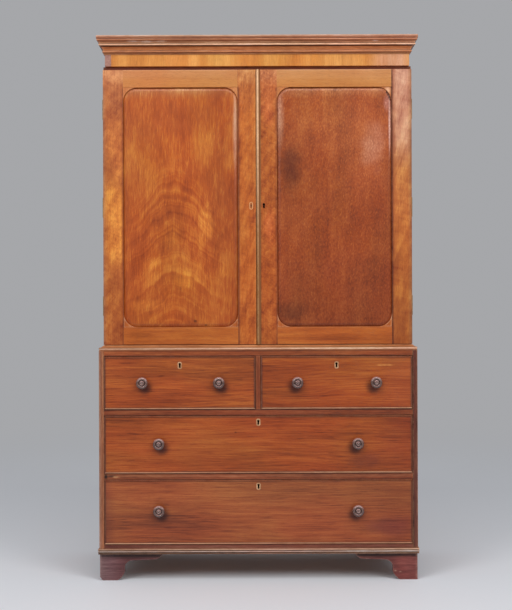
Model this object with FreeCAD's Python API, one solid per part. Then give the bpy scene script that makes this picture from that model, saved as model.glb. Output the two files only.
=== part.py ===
import FreeCAD, Part
import math
import os

# Linen press: a chest of two short and two long drawers, on bracket feet, that carries a
# cupboard with two panelled doors, four sliding trays and a loose cornice.
# Millimetres. +Z is up, the front faces -Y, and the origin is on the floor under the
# middle of the whole object.

Vector = FreeCAD.Vector
X_AXIS = Vector(1, 0, 0)
Y_AXIS = Vector(0, 1, 0)
Z_AXIS = Vector(0, 0, 1)

# ---------------------------------------------------------------- driving dimensions

overall_height = 2100.0
lower_width = 1228.0
case_depth = 545.0

# Feet and base
foot_height = 101.0
foot_inset = 7.0
foot_board = 20.0
toe_width = 67.0
toe_curve = (84.0, 13.0)
ankle_width = 95.0
ankle_low = 31.0
ankle_high = 46.0
knee_curve = (102.0, 66.0)
knee_end = (122.0, 76.5)
arm_end = (214.0, 80.5)
tip_curve = (231.0, 88.5)
bracket_reach = 241.0
rear_brace_reach = 170.0
rear_brace_tip = 60.0
foot_wear_width = 11.0
foot_wear_depth = 75.0
foot_wear_height = 14.0
block_size = 38.0
block_lift = 5.0
arm_block_gap = 4.0
arm_block_short = 25.0
base_height = 22.0
base_projection = 5.0
base_frame_width = 60.0
reed_height = 8.0
base_lip = (1.8, 0.0)
base_lip_nose = (1.0, 3.6)
base_quirk = 2.8

# Lower case
lower_side_thickness = 19.0
bottom_thickness = 16.0
lower_top_thickness = 22.5
rail_thickness = 24.0
rail_depth = 60.0
housing_depth = 8.0
housing_stop = 15.0
divider_thickness = 18.5
runner_width = 40.0
centre_runner_width = 80.0
guide_height = 20.0
dustboard_thickness = 8.0
dustboard_tongue = 8.0
stop_length = 40.0
stop_depth = 12.0
stop_height = 5.0
back_rebate = 9.0
lower_back_thickness = 12.0
upper_back_thickness = 10.0
back_board_count = 6

# Drawers, from the bottom row to the top row
drawer_heights = (246.0, 220.0, 202.0)
drawer_gap_below = 1.0
drawer_gap_above = 1.9
drawer_side_gap = 1.5
drawer_end_gap = 18.0
drawer_front_thickness = 22.0
drawer_side_thickness = 12.0
drawer_back_thickness = 12.0
drawer_bottom_thickness = 7.0
drawer_bottom_lift = 8.0
drawer_groove = 6.0
drawer_side_drop = 4.0
drawer_back_drop = 14.0
dovetail_lap = 0.5
dovetail_flare = 3.0
dovetail_pitch = 52.0
dovetail_width = 34.0
bead_width = 4.0
bead_depth = 12.0
bead_proud = 2.5

# Knobs, locks and escutcheons
knob_radius = 23.0
knob_projection = 38.0
knob_shank_radius = 7.0
short_drawer_knob_offset = 151.0
top_left_outer_knob_offset = 143.5
long_drawer_knob_offset = 382.0
knob_rises = (6.0, 3.5, 0.0)
short_keyhole_drop = 34.0
long_keyhole_drop = 25.0
keyhole_radius = 4.6
keyhole_slot = 6.4
keyhole_length = 19.5
escutcheon_width = 16.0
escutcheon_height = 27.0
escutcheon_depth = 3.0
escutcheon_corner = 6.0
lock_width = 60.0
lock_plate = 2.0
lock_plate_margin = 5.0
lock_case_lap = 0.5
lock_below_keyhole = 14.0
lock_bolt_width = 24.0
lock_bolt_thickness = 4.0
lock_bolt_height = 18.0
bolt_clearance = 0.3
drawer_bolt_throw = 8.0
bolt_pocket_spare = 2.0

# Waist moulding and upper case
waist_step = 17.0
waist_height = 19.0
waist_bead_low = 2.5
waist_bead_high = 10.5
waist_bead_in = 1.6
waist_quirk = 3.8
waist_hollow = (10.5, 13.7)
waist_hollow_end = 16.4
upper_side_thickness = 18.0
upper_top_thickness = 20.0
upper_bottom_thickness = 20.0
door_lap = 4.4
door_bottom_gap = 2.4
door_head_gap = 15.5

# Frieze and cornice
frieze_height = 45.5
frieze_inset = 7.5
frieze_thickness = 24.0
cornice_height = 69.0
cornice_projection = 30.5
cornice_rail = 20.0
cornice_block = 26.0
cornice_block_length = 90.0
cornice_block_drop = 10.0
cornice_front_blocks = 5
cornice_side_blocks = 2

# Doors
door_thickness = 22.0
outer_stile = 78.0
meeting_stile = 70.0
door_rail = 67.5
door_gap = 12.0
tenon_length = 28.0
tenon_shoulder = 9.0
panel_depth = 8.0
panel_thickness = 7.0
panel_tongue = 6.0
panel_rise = 5.0
panel_bevel = 13.0
corner_radius = 54.0
spandrel_sink = 1.0
spandrel_drop = 2.0
astragal_width = 16.0
astragal_flange = 1.2
astragal_bead_width = 12.0
astragal_bead_rise = 4.8
astragal_bead_inset = 1.0
astragal_gap = 2.0

# Hinges, door lock and door bolts
hinge_height = 76.0
hinge_leaf = 17.0
hinge_leaf_thickness = 1.6
hinge_knuckle_radius = 3.6
hinge_pin_radius = 1.8
hinge_pin_offset = 1.0
hinge_end_distance = 150.0
hinge_clearance = 0.3
pin_clearance = 0.05
knuckle_gap = 0.2
knuckle_count = 5
door_keyhole_height = 1443.7
door_keyhole_inset = 24.7
door_lock_depth = 10.0
door_lock_width = 46.0
door_lock_height = 56.0
door_bolt_length = 40.0
door_bolt_height = 18.0
door_bolt_thickness = 5.0
door_bolt_throw = 12.0
rod_radius = 3.5
rod_length = 60.0
rod_inset = 35.0
rod_cover = 6.0
button_radius = 4.0
bolt_plate_width = 18.0
bolt_plate_length = 110.0
bolt_plate_margin = 10.0
rod_engagement = 6.5
blank_escutcheon_width = 12.4
blank_escutcheon_height = 29.0
blank_escutcheon_line = 1.8
blank_escutcheon_flat = 0.2

# Trays
tray_count = 4
tray_setback = 45.0
tray_end_gap = 15.0
tray_side_gap = 1.5
tray_lift = 16.0
tray_front_height = 72.0
tray_side_height = 108.0
tray_board = 12.0
tray_bottom = 8.0
tray_bottom_lift = 6.0
tray_groove = 5.0
tray_scoop = 60.0
tray_runner_width = 20.0
tray_runner_setback = 20.0
tray_nosing = 3.0

# ---------------------------------------------------------------- levels and planes

front = -(case_depth - knob_projection) / 2
back = front + case_depth
lower_half = lower_width / 2
lower_inner = lower_half - lower_side_thickness
lower_back_y = back - lower_back_thickness

case_floor = foot_height + base_height
bottom_top = case_floor + bottom_thickness
row_gaps = drawer_gap_below + drawer_gap_above


def opening_floor(row):
    below = sum(height + row_gaps + rail_thickness for height in drawer_heights[:row])
    return bottom_top + below


def opening_ceiling(row):
    return opening_floor(row) + drawer_heights[row] + row_gaps


lower_top_under = opening_ceiling(2)
waist = lower_top_under + lower_top_thickness
waist_top = waist + waist_height

upper_half = lower_half - waist_step
upper_inner = upper_half - upper_side_thickness
door_face = front + waist_step
door_back = door_face + door_thickness
upper_back_y = back - upper_back_thickness

cornice_floor = overall_height - cornice_height
frieze_floor = cornice_floor - frieze_height
upper_top_under = frieze_floor - upper_top_thickness
frieze_half = upper_half - frieze_inset
frieze_face = door_face + frieze_inset

door_bottom = waist_top + door_bottom_gap
door_top = frieze_floor - door_head_gap
upper_bottom_top = door_bottom + door_lap
upper_bottom_under = upper_bottom_top - upper_bottom_thickness

door_outer = upper_half
door_inner = door_gap / 2
opening_outer = door_outer - outer_stile
opening_inner = door_inner + meeting_stile
opening_low = door_bottom + door_rail
opening_high = door_top - door_rail
pin_x = upper_half + hinge_pin_offset

# ---------------------------------------------------------------- shape helpers


def slab(x, y, z):
    """Box between three (low, high) pairs."""
    size = (x[1] - x[0], y[1] - y[0], z[1] - z[0])
    return Part.makeBox(*size, Vector(x[0], y[0], z[0]))


def mirrored(shape):
    """The same shape on the other side of the middle plane."""
    return shape.mirror(Vector(0, 0, 0), X_AXIS)


def both_sides(shape):
    return [mirrored(shape), shape]


def cylinder(radius, length, base, direction):
    return Part.makeCylinder(radius, length, base, direction)


def joined(shapes):
    """One solid from shapes that touch."""
    whole = shapes[0].fuse(shapes[1:]) if len(shapes) > 1 else shapes[0]
    return whole.removeSplitter()


def less(shape, cutters):
    for cutter in cutters:
        shape = shape.cut(cutter)
    return shape


def section(place, start, moves):
    """Closed face. A move is a point, or a (through, to) pair of points for an arc."""
    edges = []
    here = start
    for move in moves:
        curved = isinstance(move[0], tuple)
        there = move[1] if curved else move
        if curved:
            edges.append(Part.Arc(place(*here), place(*move[0]), place(*there)).toShape())
        else:
            edges.append(Part.makeLine(place(*here), place(*there)))
        here = there
    if place(*here).distanceToPoint(place(*start)) > 1e-6:
        edges.append(Part.makeLine(place(*here), place(*start)))
    return Part.Face(Part.Wire(edges))


def strip(start, end, inward, normal, outline, reach, mitre_start=True, mitre_end=True):
    """Straight moulding whose section is drawn in (inward, normal) from the outer line
    start-end. A mitred end is cut at 45 degrees towards the inside."""
    run = end - start
    along = Vector(run).normalize()

    def place(depth, height):
        return start + inward * depth + normal * height

    solid = section(place, outline[0], outline[1:]).extrude(run)
    far_end = end + (inward - along * (1 if mitre_end else 0)) * reach
    far_start = start + (inward + along * (1 if mitre_start else 0)) * reach
    corners = [start, end, far_end, far_start, start]
    tall = normal * (2 * reach)
    wedge = Part.Face(Part.makePolygon([corner - tall for corner in corners])).extrude(tall * 2)
    return solid.common(wedge)


def rounded_rectangle(x, z, y, radius):
    """Wire in the plane y with four equal round corners."""
    middle = radius * (1 - math.sqrt(0.5))
    x0, x1 = x
    z0, z1 = z
    points = [
        ((x0 + radius, z0), (x1 - radius, z0), (x1 - middle, z0 + middle), (x1, z0 + radius)),
        ((x1, z0 + radius), (x1, z1 - radius), (x1 - middle, z1 - middle), (x1 - radius, z1)),
        ((x1 - radius, z1), (x0 + radius, z1), (x0 + middle, z1 - middle), (x0, z1 - radius)),
        ((x0, z1 - radius), (x0, z0 + radius), (x0 + middle, z0 + middle), (x0 + radius, z0)),
    ]
    edges = []
    for begin, straight_end, through, finish in points:
        begin, straight_end, through, finish = (
            Vector(a, y, b) for a, b in (begin, straight_end, through, finish)
        )
        if begin.distanceToPoint(straight_end) > 1e-6:
            edges.append(Part.makeLine(begin, straight_end))
        edges.append(Part.Arc(straight_end, through, finish).toShape())
    return Part.Wire(edges)


def keyhole(x, z, y, radius, slot, length):
    """Cutter for a keyhole: a round hole above a slot with a round foot."""
    eye = z + length / 2 - radius
    depth = y[1] - y[0]
    foot = z - length / 2 + slot / 2
    hole = cylinder(radius, depth, Vector(x, y[0], eye), Y_AXIS)
    foot_hole = cylinder(slot / 2, depth, Vector(x, y[0], foot), Y_AXIS)
    bar = slab((x - slot / 2, x + slot / 2), y, (foot, eye))
    return joined([hole, foot_hole, bar])


def board_with_tongues(half, y, z):
    """Horizontal board between the case sides, with tongues that stop behind its front."""
    y_tongue = (y[0] + housing_stop, y[1])
    board = slab((-half, half), y, z)
    tongues = slab((-half - housing_depth, half + housing_depth), y_tongue, z)
    return joined([board, tongues])


def spread(low, high, count):
    """Middles of count equal shares of a length."""
    return [low + (high - low) * (i + 0.5) / count for i in range(count)]


def vertical_boards(half, y, z, count):
    """A back made of upright boards, edge to edge."""
    width = 2 * half / count
    edges = [-half + width * i for i in range(count)]
    return [slab((edge, edge + width), y, z) for edge in edges]


# ---------------------------------------------------------------- feet and base

foot_half = lower_half + base_projection - foot_inset
foot_front = front - base_projection + foot_inset


def bracket_outline():
    """Foot bracket seen square on: distance in from the corner, and height."""
    return [
        (0, 0),
        (toe_width, 0),
        (toe_curve, (ankle_width, ankle_low)),
        (ankle_width, ankle_high),
        (knee_curve, knee_end),
        arm_end,
        (tip_curve, (bracket_reach, foot_height)),
        (0, foot_height),
    ]


def bracket(corner, along, inward, mitred):
    """One face of a foot, from its corner along one side of the case."""

    def place(distance, height):
        return corner + along * distance + Z_AXIS * height

    outline = bracket_outline()
    board = section(place, outline[0], outline[1:]).extrude(inward * foot_board)
    if not mitred:
        return board
    far = bracket_reach + foot_board
    plan = [
        corner,
        corner + along * far,
        corner + along * far + inward * foot_board,
        corner + (along + inward) * foot_board,
        corner,
    ]
    return board.common(Part.Face(Part.makePolygon(plan)).extrude(Z_AXIS * foot_height))


def rear_brace():
    """Plain board that holds a back foot from behind, with a sloping lower edge."""
    outer = foot_half - foot_board

    def place(distance, height):
        return Vector(outer - distance, back, height)

    slope_foot = toe_width - foot_board
    outline = [(0, 0), (slope_foot, 0), (rear_brace_reach, rear_brace_tip)]
    outline += [(rear_brace_reach, foot_height), (0, foot_height)]
    return section(place, outline[0], outline[1:]).extrude(-Y_AXIS * foot_board)


def worn_corner():
    """Wedge worn off the outer bottom corner of the left front foot and back along its side."""
    corner = Vector(-foot_half, foot_front, 0)
    in_x = corner + X_AXIS * foot_wear_width
    in_y = corner + Y_AXIS * foot_wear_depth
    up = corner + Z_AXIS * foot_wear_height
    rings = [(corner, in_y, in_x), (corner, in_x, up), (corner, up, in_y), (in_x, in_y, up)]
    faces = [Part.Face(Part.makePolygon([*ring, ring[0]])) for ring in rings]
    return Part.Solid(Part.Shell(faces))


def bracket_feet():
    front_corner = Vector(foot_half, foot_front, 0)
    back_corner = Vector(foot_half, back, 0)
    pieces = []
    pieces += both_sides(bracket(front_corner, -X_AXIS, Y_AXIS, True))
    pieces += both_sides(bracket(front_corner, Y_AXIS, -X_AXIS, True))
    pieces += both_sides(bracket(back_corner, -Y_AXIS, -X_AXIS, False))
    pieces += both_sides(rear_brace())
    wear = worn_corner()
    left_front, left_side = 0, 2
    for index in (left_front, left_side):
        pieces[index] = pieces[index].cut(wear)
    return pieces


def foot_blocks():
    """Glue blocks inside each foot: an upright one in the corner, and one along each arm."""
    inner = foot_half - foot_board
    corner_x = (inner - block_size, inner)
    front_y = foot_front + foot_board
    upright_z = (block_lift, foot_height)
    arm_z = (arm_end[1] + block_lift, foot_height)
    half_block = block_size / 2
    block_start = block_size + arm_block_gap
    block_end = arm_end[0] - foot_board - arm_block_short
    front_arm_x = (inner - block_end, inner - block_start)
    side_arm_x = (inner - half_block, inner)
    pieces = []
    for low, high in ((front_y, 1), (back - foot_board, -1)):
        upright_y = sorted((low, low + high * block_size))
        side_arm_y = sorted((low + high * block_start, low + high * block_end))
        pieces += both_sides(slab(corner_x, upright_y, upright_z))
        pieces += both_sides(slab(side_arm_x, side_arm_y, arm_z))
    pieces += both_sides(slab(front_arm_x, (front_y, front_y + half_block), arm_z))
    return pieces


def base_moulding():
    """Mitred frame under the case with two reeds over a lip on its edge, and a rear rail."""
    proud = base_projection
    lip = base_height - 2 * reed_height
    outline = [
        base_lip,
        (base_lip_nose, (base_quirk, lip)),
        ((0, lip + reed_height / 2), (base_quirk, lip + reed_height)),
        ((0, lip + reed_height * 3 / 2), (base_quirk, base_height)),
        (base_frame_width + proud, base_height),
        (base_frame_width + proud, 0),
    ]
    reach = base_frame_width + proud
    x = lower_half + proud
    y = front - proud
    left = Vector(-x, y, foot_height)
    right = Vector(x, y, foot_height)
    right_rear = Vector(x, back, foot_height)
    side = strip(right, right_rear, -X_AXIS, Z_AXIS, outline, reach, True, False)
    rear_x = lower_half - base_frame_width
    rear_y = (back - base_frame_width, back)
    rear = slab((-rear_x, rear_x), rear_y, (foot_height, case_floor))
    return [strip(left, right, Y_AXIS, Z_AXIS, outline, reach), *both_sides(side), rear]


# ---------------------------------------------------------------- lower case


def lower_boards():
    y = (front, lower_back_y)
    return {
        "lower_bottom": board_with_tongues(lower_inner, y, (case_floor, bottom_top)),
        "lower_top": board_with_tongues(lower_inner, y, (lower_top_under, waist)),
    }


def rail_levels(row):
    """Underside and top of the rail above a drawer row."""
    return (opening_ceiling(row), opening_ceiling(row) + rail_thickness)


def drawer_rail(row):
    return board_with_tongues(lower_inner, (front, front + rail_depth), rail_levels(row))


def dustboard_levels(row):
    middle = sum(rail_levels(row)) / 2
    return (middle - dustboard_thickness / 2, middle + dustboard_thickness / 2)


def dustboards():
    y = (front + rail_depth - dustboard_tongue, lower_back_y)
    inner = lower_inner - runner_width + dustboard_tongue
    centre = centre_runner_width / 2 - dustboard_tongue
    full = slab((-inner, inner), y, dustboard_levels(0))
    return [full, *both_sides(slab((centre, inner), y, dustboard_levels(1)))]


def drawer_bolt_pocket(spec):
    """Mortise above a drawer that its lock bolt is thrown into."""
    x, z = spec["x"], spec["front_z"][1]
    half = lock_bolt_width / 2 + bolt_clearance
    y = (lock_bolt_y[0] - bolt_clearance, lock_bolt_y[1] + bolt_clearance)
    return slab((x - half, x + half), y, (z, z + drawer_bolt_throw + bolt_pocket_spare))


def divider_tenon(z):
    y = (front + housing_stop, front + rail_depth - housing_stop)
    half = divider_thickness / 2
    return slab((-half, half), y, z)


def drawer_divider():
    z0, z1 = opening_floor(2), opening_ceiling(2)
    half = divider_thickness / 2
    post = slab((-half, half), (front, front + rail_depth), (z0, z1))
    return joined([post, divider_tenon((z0 - housing_depth, z1 + housing_depth))])


def drawer_runners():
    """Runners behind the rails, the guide between the short drawers, and the drawer stops."""
    y = (front + rail_depth, lower_back_y)
    pieces = []
    for row in (0, 1):
        side_runner = slab((lower_inner - runner_width, lower_inner), y, rail_levels(row))
        pieces += both_sides(side_runner)
    z = rail_levels(1)
    half = centre_runner_width / 2
    centre = slab((-half, half), y, z)
    half_guide = divider_thickness / 2
    guide = slab((-half_guide, half_guide), y, (z[1], z[1] + guide_height))
    pieces = [less(piece, dustboards()) for piece in [*pieces, centre]]
    return [*pieces, guide, *drawer_stops()]


def drawer_stops():
    y0 = front + drawer_front_thickness
    pieces = []
    for spec in drawer_specs:
        z0 = spec["floor"]
        offset = (spec["x_range"][1] - spec["x_range"][0]) / 3
        for x in (spec["x"] - offset, spec["x"] + offset):
            half = stop_length / 2
            z = (z0, z0 + stop_height)
            pieces.append(slab((x - half, x + half), (y0, y0 + stop_depth), z))
    return pieces


def lower_back_cutter():
    half = lower_inner + back_rebate
    return slab((-half, half), (lower_back_y, back), (case_floor, waist))


def lower_side():
    side = slab((lower_inner, lower_half), (front, back), (case_floor, waist))
    housings = [drawer_rail(0), drawer_rail(1), *lower_boards().values()]
    return less(side, [lower_back_cutter(), *housings])


def lower_back_boards():
    half = lower_inner + back_rebate
    y = (lower_back_y, back)
    return vertical_boards(half, y, (case_floor, waist), back_board_count)


def waist_section(inner):
    """Bead at the lower case's edge with a hollow that climbs to the upper case."""
    return [
        (waist_bead_in, 0),
        (waist_bead_in, waist_bead_low),
        ((0, (waist_bead_low + waist_bead_high) / 2), (waist_bead_in, waist_bead_high)),
        (waist_quirk, waist_bead_high),
        (waist_hollow, (waist_hollow_end, waist_height)),
        (inner, waist_height),
        (inner, 0),
    ]


def waist_moulding():
    left = Vector(-lower_half, front, waist)
    right = Vector(lower_half, front, waist)
    rear = Vector(lower_half, back, waist)
    reach = waist_step + door_thickness
    front_piece = strip(left, right, Y_AXIS, Z_AXIS, waist_section(reach), reach)
    inner_y = (door_face, door_back)
    infill = slab((-upper_half, upper_half), inner_y, (waist, waist_top))
    front_piece = joined([front_piece, infill])
    side = strip(right, rear, -X_AXIS, Z_AXIS, waist_section(waist_step), waist_step, True, False)
    return [front_piece.cut(rod_keep(waist_top, -Z_AXIS)), *both_sides(side)]


# ---------------------------------------------------------------- drawers


def drawer_spec(name, row, x_low, x_high, knob_offsets, keyhole_drop):
    floor = opening_floor(row)
    bottom = floor + drawer_gap_below
    middle = (x_low + x_high) / 2
    left_knob, right_knob = knob_offsets
    return {
        "name": name,
        "floor": floor,
        "x": middle,
        "x_range": (x_low + drawer_side_gap, x_high - drawer_side_gap),
        "front_z": (bottom, bottom + drawer_heights[row]),
        "knobs_x": (middle - left_knob, middle + right_knob),
        "knob_z": bottom + drawer_heights[row] / 2 + knob_rises[row],
        "keyhole_z": bottom + drawer_heights[row] - keyhole_drop,
    }


def long_drawer(name, row):
    offsets = (long_drawer_knob_offset, long_drawer_knob_offset)
    return drawer_spec(name, row, -lower_inner, lower_inner, offsets, long_keyhole_drop)


def short_drawer(name, low, high, outer_offset=short_drawer_knob_offset):
    offsets = (outer_offset, short_drawer_knob_offset)
    return drawer_spec(name, 2, low, high, offsets, short_keyhole_drop)


drawer_specs = [
    long_drawer("bottom_drawer", 0),
    long_drawer("middle_drawer", 1),
    short_drawer(
        "top_left_drawer", -lower_inner, -divider_thickness / 2, top_left_outer_knob_offset
    ),
    short_drawer("top_right_drawer", divider_thickness / 2, lower_inner),
]

drawer_front_y = (front, front + drawer_front_thickness)
drawer_end = lower_back_y - drawer_end_gap
bead_back_y = front + bead_depth - bead_proud
lock_case_y = (bead_back_y + lock_case_lap, drawer_front_y[1] - lock_plate)
lock_bolt_middle = sum(lock_case_y) / 2
lock_bolt_y = (
    lock_bolt_middle - lock_bolt_thickness / 2,
    lock_bolt_middle + lock_bolt_thickness / 2,
)


def bead_section():
    """Cock bead: (in from the drawer's edge, back from its nose), with a round nose."""
    radius = bead_width / 2
    return [
        (0, radius),
        ((radius, 0), (bead_width, radius)),
        (bead_width, bead_depth),
        (0, bead_depth),
    ]


def cock_beads(spec):
    x0, x1 = spec["x_range"]
    z0, z1 = spec["front_z"]
    y = front - bead_proud
    corners = [Vector(x0, y, z0), Vector(x1, y, z0), Vector(x1, y, z1), Vector(x0, y, z1)]
    inwards = [Z_AXIS, -X_AXIS, -Z_AXIS, X_AXIS]
    pieces = []
    for i, inward in enumerate(inwards):
        start, end = corners[i], corners[(i + 1) % 4]
        pieces.append(strip(start, end, inward, Y_AXIS, bead_section(), bead_depth * 2))
    return pieces


def dovetail_levels(spec):
    """Heights of the middles of the tails, spread evenly up a drawer's side."""
    low, high = spec["front_z"][0], spec["front_z"][1] - drawer_side_drop
    return spread(low, high, max(2, int((high - low) // dovetail_pitch)))


def drawer_tails(spec, x):
    """Tails on the front end of a drawer side, as wedge-shaped blocks."""
    root = drawer_front_y[1]
    tip = bead_back_y + dovetail_lap
    wide = dovetail_width / 2
    narrow = wide - dovetail_flare
    tails = []
    for level in dovetail_levels(spec):
        points = [(root, -narrow), (tip, -wide), (tip, wide), (root, narrow), (root, -narrow)]
        outline = Part.makePolygon([Vector(x[0], y, level + z) for y, z in points])
        tails.append(Part.Face(outline).extrude(X_AXIS * (x[1] - x[0])))
    return tails


def drawer_bottom_board(spec):
    x0, x1 = spec["x_range"]
    inset = drawer_side_thickness - drawer_groove
    z0 = spec["floor"] + drawer_bottom_lift
    y = (drawer_front_y[1] - drawer_groove, drawer_end)
    return slab((x0 + inset, x1 - inset), y, (z0, z0 + drawer_bottom_thickness))


def drawer_side_ranges(spec):
    x0, x1 = spec["x_range"]
    return [(x0, x0 + drawer_side_thickness), (x1 - drawer_side_thickness, x1)]


def drawer_box(spec):
    """Two dovetailed sides, the back and the bottom of a drawer."""
    top = spec["front_z"][1]
    z = (spec["floor"], top - drawer_side_drop)
    bottom = drawer_bottom_board(spec)
    sides = []
    for x in drawer_side_ranges(spec):
        side = slab(x, (drawer_front_y[1], drawer_end), z)
        side = joined([side, *drawer_tails(spec, x)])
        sides.append(less(side, [bottom]))
    back_y = (drawer_end - drawer_back_thickness, drawer_end)
    back_z = (bottom.BoundBox.ZMax, top - drawer_back_drop)
    return [*sides, slab(sides_inner(spec), back_y, back_z), bottom]


def sides_inner(spec):
    left, right = drawer_side_ranges(spec)
    return left[1], right[0]


def drawer_lock_body(spec):
    """Lock case with its back plate and top plate, flush with the drawer front."""
    x, top = spec["x"], spec["front_z"][1]
    low = spec["keyhole_z"] - lock_below_keyhole
    half = lock_width / 2
    case_half = half - lock_plate_margin
    plate_x = (x - half, x + half)
    plate_y = (lock_case_y[1], drawer_front_y[1])
    back_plate = slab(plate_x, plate_y, (low - lock_plate_margin, top))
    top_plate = slab(plate_x, (lock_case_y[0], plate_y[1]), (top - lock_plate, top))
    case = slab((x - case_half, x + case_half), lock_case_y, (low, top))
    return joined([back_plate, case, top_plate])


def drawer_bolt(spec, grow=0.0, spare=0.0):
    """Sliding bolt of a drawer lock, drawn in, with its top flush with the drawer's edge."""
    x, top = spec["x"], spec["front_z"][1]
    half = lock_bolt_width / 2 + grow
    y = (lock_bolt_y[0] - grow, lock_bolt_y[1] + grow)
    return slab((x - half, x + half), y, (top - lock_bolt_height - grow, top + spare))


def drawer_keyhole(spec, y):
    return keyhole(spec["x"], spec["keyhole_z"], y, keyhole_radius, keyhole_slot, keyhole_length)


def drawer_escutcheon(spec):
    """Inlaid plate round a drawer's keyhole, flush with the front."""
    half_x, half_z = escutcheon_width / 2, escutcheon_height / 2
    x = (spec["x"] - half_x, spec["x"] + half_x)
    z = (spec["keyhole_z"] - half_z, spec["keyhole_z"] + half_z)
    plate = Part.Face(rounded_rectangle(x, z, front, escutcheon_corner))
    return plate.extrude(Y_AXIS * escutcheon_depth)


def knob_outline():
    """Half section of a turned knob: a collar, a neck, a rounded rim round a sunk ring, and a
    domed button. Points are (radius, distance out from the drawer front)."""

    def at(radius_share, out_share):
        return (knob_radius * radius_share, knob_projection * out_share)

    button_radius, button_base = at(0.41, 0.82)
    button_rise = knob_projection - button_base
    dome_radius = (button_radius**2 + button_rise**2) / (2 * button_rise)
    half_angle = math.asin(button_radius / dome_radius) / 2
    dome_middle = (
        dome_radius * math.sin(half_angle),
        knob_projection - dome_radius * (1 - math.cos(half_angle)),
    )
    return [
        (0, -drawer_front_thickness),
        (knob_shank_radius, -drawer_front_thickness),
        (knob_shank_radius, 0),
        at(0.63, 0),
        (at(0.68, 0.05), at(0.63, 0.1)),
        (at(0.44, 0.27), at(0.52, 0.45)),
        at(0.74, 0.49),
        (at(0.94, 0.55), at(1, 0.68)),
        (at(0.92, 0.84), at(0.7, 0.91)),
        (at(0.57, 0.88), at(0.5, 0.82)),
        (button_radius, button_base),
        (dome_middle, (0, knob_projection)),
    ]


def drawer_knobs(spec):
    z = spec["knob_z"]
    knobs = []
    for x in spec["knobs_x"]:

        def place(radius, out, x=x):
            return Vector(x + radius, front - out, z)

        outline = knob_outline()
        face = section(place, outline[0], outline[1:])
        knobs.append(face.revolve(Vector(x, front, z), Y_AXIS, 360))
    return knobs


def knob_holes(spec):
    z = spec["knob_z"]
    radius = knob_shank_radius + pin_clearance
    holes = []
    for x in spec["knobs_x"]:
        holes.append(cylinder(radius, drawer_front_thickness, Vector(x, front, z), Y_AXIS))
    return holes


def drawer(spec):
    """All the nodes of one drawer."""
    beads = cock_beads(spec)
    box = drawer_box(spec)
    escutcheon = drawer_escutcheon(spec)
    lock_body = drawer_lock_body(spec)
    board = slab(spec["x_range"], drawer_front_y, spec["front_z"])
    key_front = drawer_keyhole(spec, (front, lock_case_y[0]))
    key_lock = drawer_keyhole(spec, (lock_case_y[0], lock_bolt_y[1] + 1))
    board = less(board, [*beads, *box, escutcheon, lock_body, key_front, *knob_holes(spec)])
    lock = less(lock_body, [drawer_bolt(spec, bolt_clearance, 1), key_lock])
    name = spec["name"]
    return {
        f"{name}_front": [board, *beads],
        f"{name}_box": box,
        f"{name}_knobs": drawer_knobs(spec),
        f"{name}_lock": [lock, escutcheon.cut(key_front)],
        f"{name}_bolt": [drawer_bolt(spec)],
    }


# ---------------------------------------------------------------- upper case


def upper_back_cutter():
    half = upper_inner + back_rebate
    return slab((-half, half), (upper_back_y, back), (waist, frieze_floor))


def upper_bottom_board():
    z = (upper_bottom_under, upper_bottom_top)
    return board_with_tongues(upper_inner, (door_back, upper_back_y), z)


def upper_side():
    side = slab((upper_inner, upper_half), (door_back, back), (waist, upper_top_under))
    return less(side, [upper_back_cutter(), upper_bottom_board(), *hinge_recesses()])


def upper_top():
    board = slab((-upper_half, upper_half), (door_back, back), (upper_top_under, frieze_floor))
    return board.cut(upper_back_cutter())


def upper_back_boards():
    half = upper_inner + back_rebate
    y = (upper_back_y, back)
    return vertical_boards(half, y, (waist, frieze_floor), back_board_count)


tray_pitch = (upper_top_under - upper_bottom_top) / tray_count
tray_front_y = door_back + tray_setback


def tray_floor(index):
    return upper_bottom_top + tray_lift + tray_pitch * index


def tray_runners():
    y = (door_back + tray_runner_setback, upper_back_y)
    x = (upper_inner - tray_runner_width, upper_inner)
    pieces = []
    for index in range(tray_count):
        z = (tray_floor(index) - tray_lift, tray_floor(index))
        pieces += both_sides(slab(x, y, z))
    return pieces


def tray_side(x, floor, end):
    """Tray side that sweeps down in a double curve to the height of the front."""
    low, high = floor + tray_front_height, floor + tray_side_height
    y0 = tray_front_y + tray_board
    rise = high - low

    def place(y, z):
        return Vector(x[0], y, z)

    def sweep(run_share, rise_share):
        return (y0 + tray_scoop * run_share, low + rise * rise_share)

    moves = [
        (end, floor),
        (end, high),
        sweep(1, 1),
        (sweep(0.68, 0.86), sweep(0.5, 0.5)),
        (sweep(0.32, 0.14), (y0, low)),
    ]
    return section(place, (y0, floor), moves).extrude(X_AXIS * (x[1] - x[0]))


def tray(index):
    """Sliding tray: front, two sides, back and a grooved-in bottom."""
    floor = tray_floor(index)
    half = upper_inner - tray_side_gap
    end = upper_back_y - tray_end_gap
    inner = half - tray_board
    grooved = inner + tray_groove
    bottom_z = (floor + tray_bottom_lift, floor + tray_bottom_lift + tray_bottom)
    front_y = (tray_front_y, tray_front_y + tray_board)
    bottom = slab((-grooved, grooved), (front_y[1] - tray_groove, end), bottom_z)
    front_board = slab((-half, half), front_y, (floor, floor + tray_front_height))
    edges = top_edges(front_board, floor + tray_front_height)
    front_board = front_board.makeFillet(tray_nosing, edges)
    side = less(tray_side((inner, half), floor, end), [bottom])
    back_z = (bottom_z[1], floor + tray_side_height)
    back_board = slab((-inner, inner), (end - tray_board, end), back_z)
    return [front_board.cut(bottom), *both_sides(side), back_board, bottom]


def top_edges(shape, z):
    """The long edges at the top of a board."""

    def is_long_top_edge(edge):
        box = edge.BoundBox
        return abs(box.ZMin - z) < 1e-6 and abs(box.ZMax - z) < 1e-6 and box.XLength > box.YLength

    return [edge for edge in shape.Edges if is_long_top_edge(edge)]


# ---------------------------------------------------------------- frieze and cornice

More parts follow.
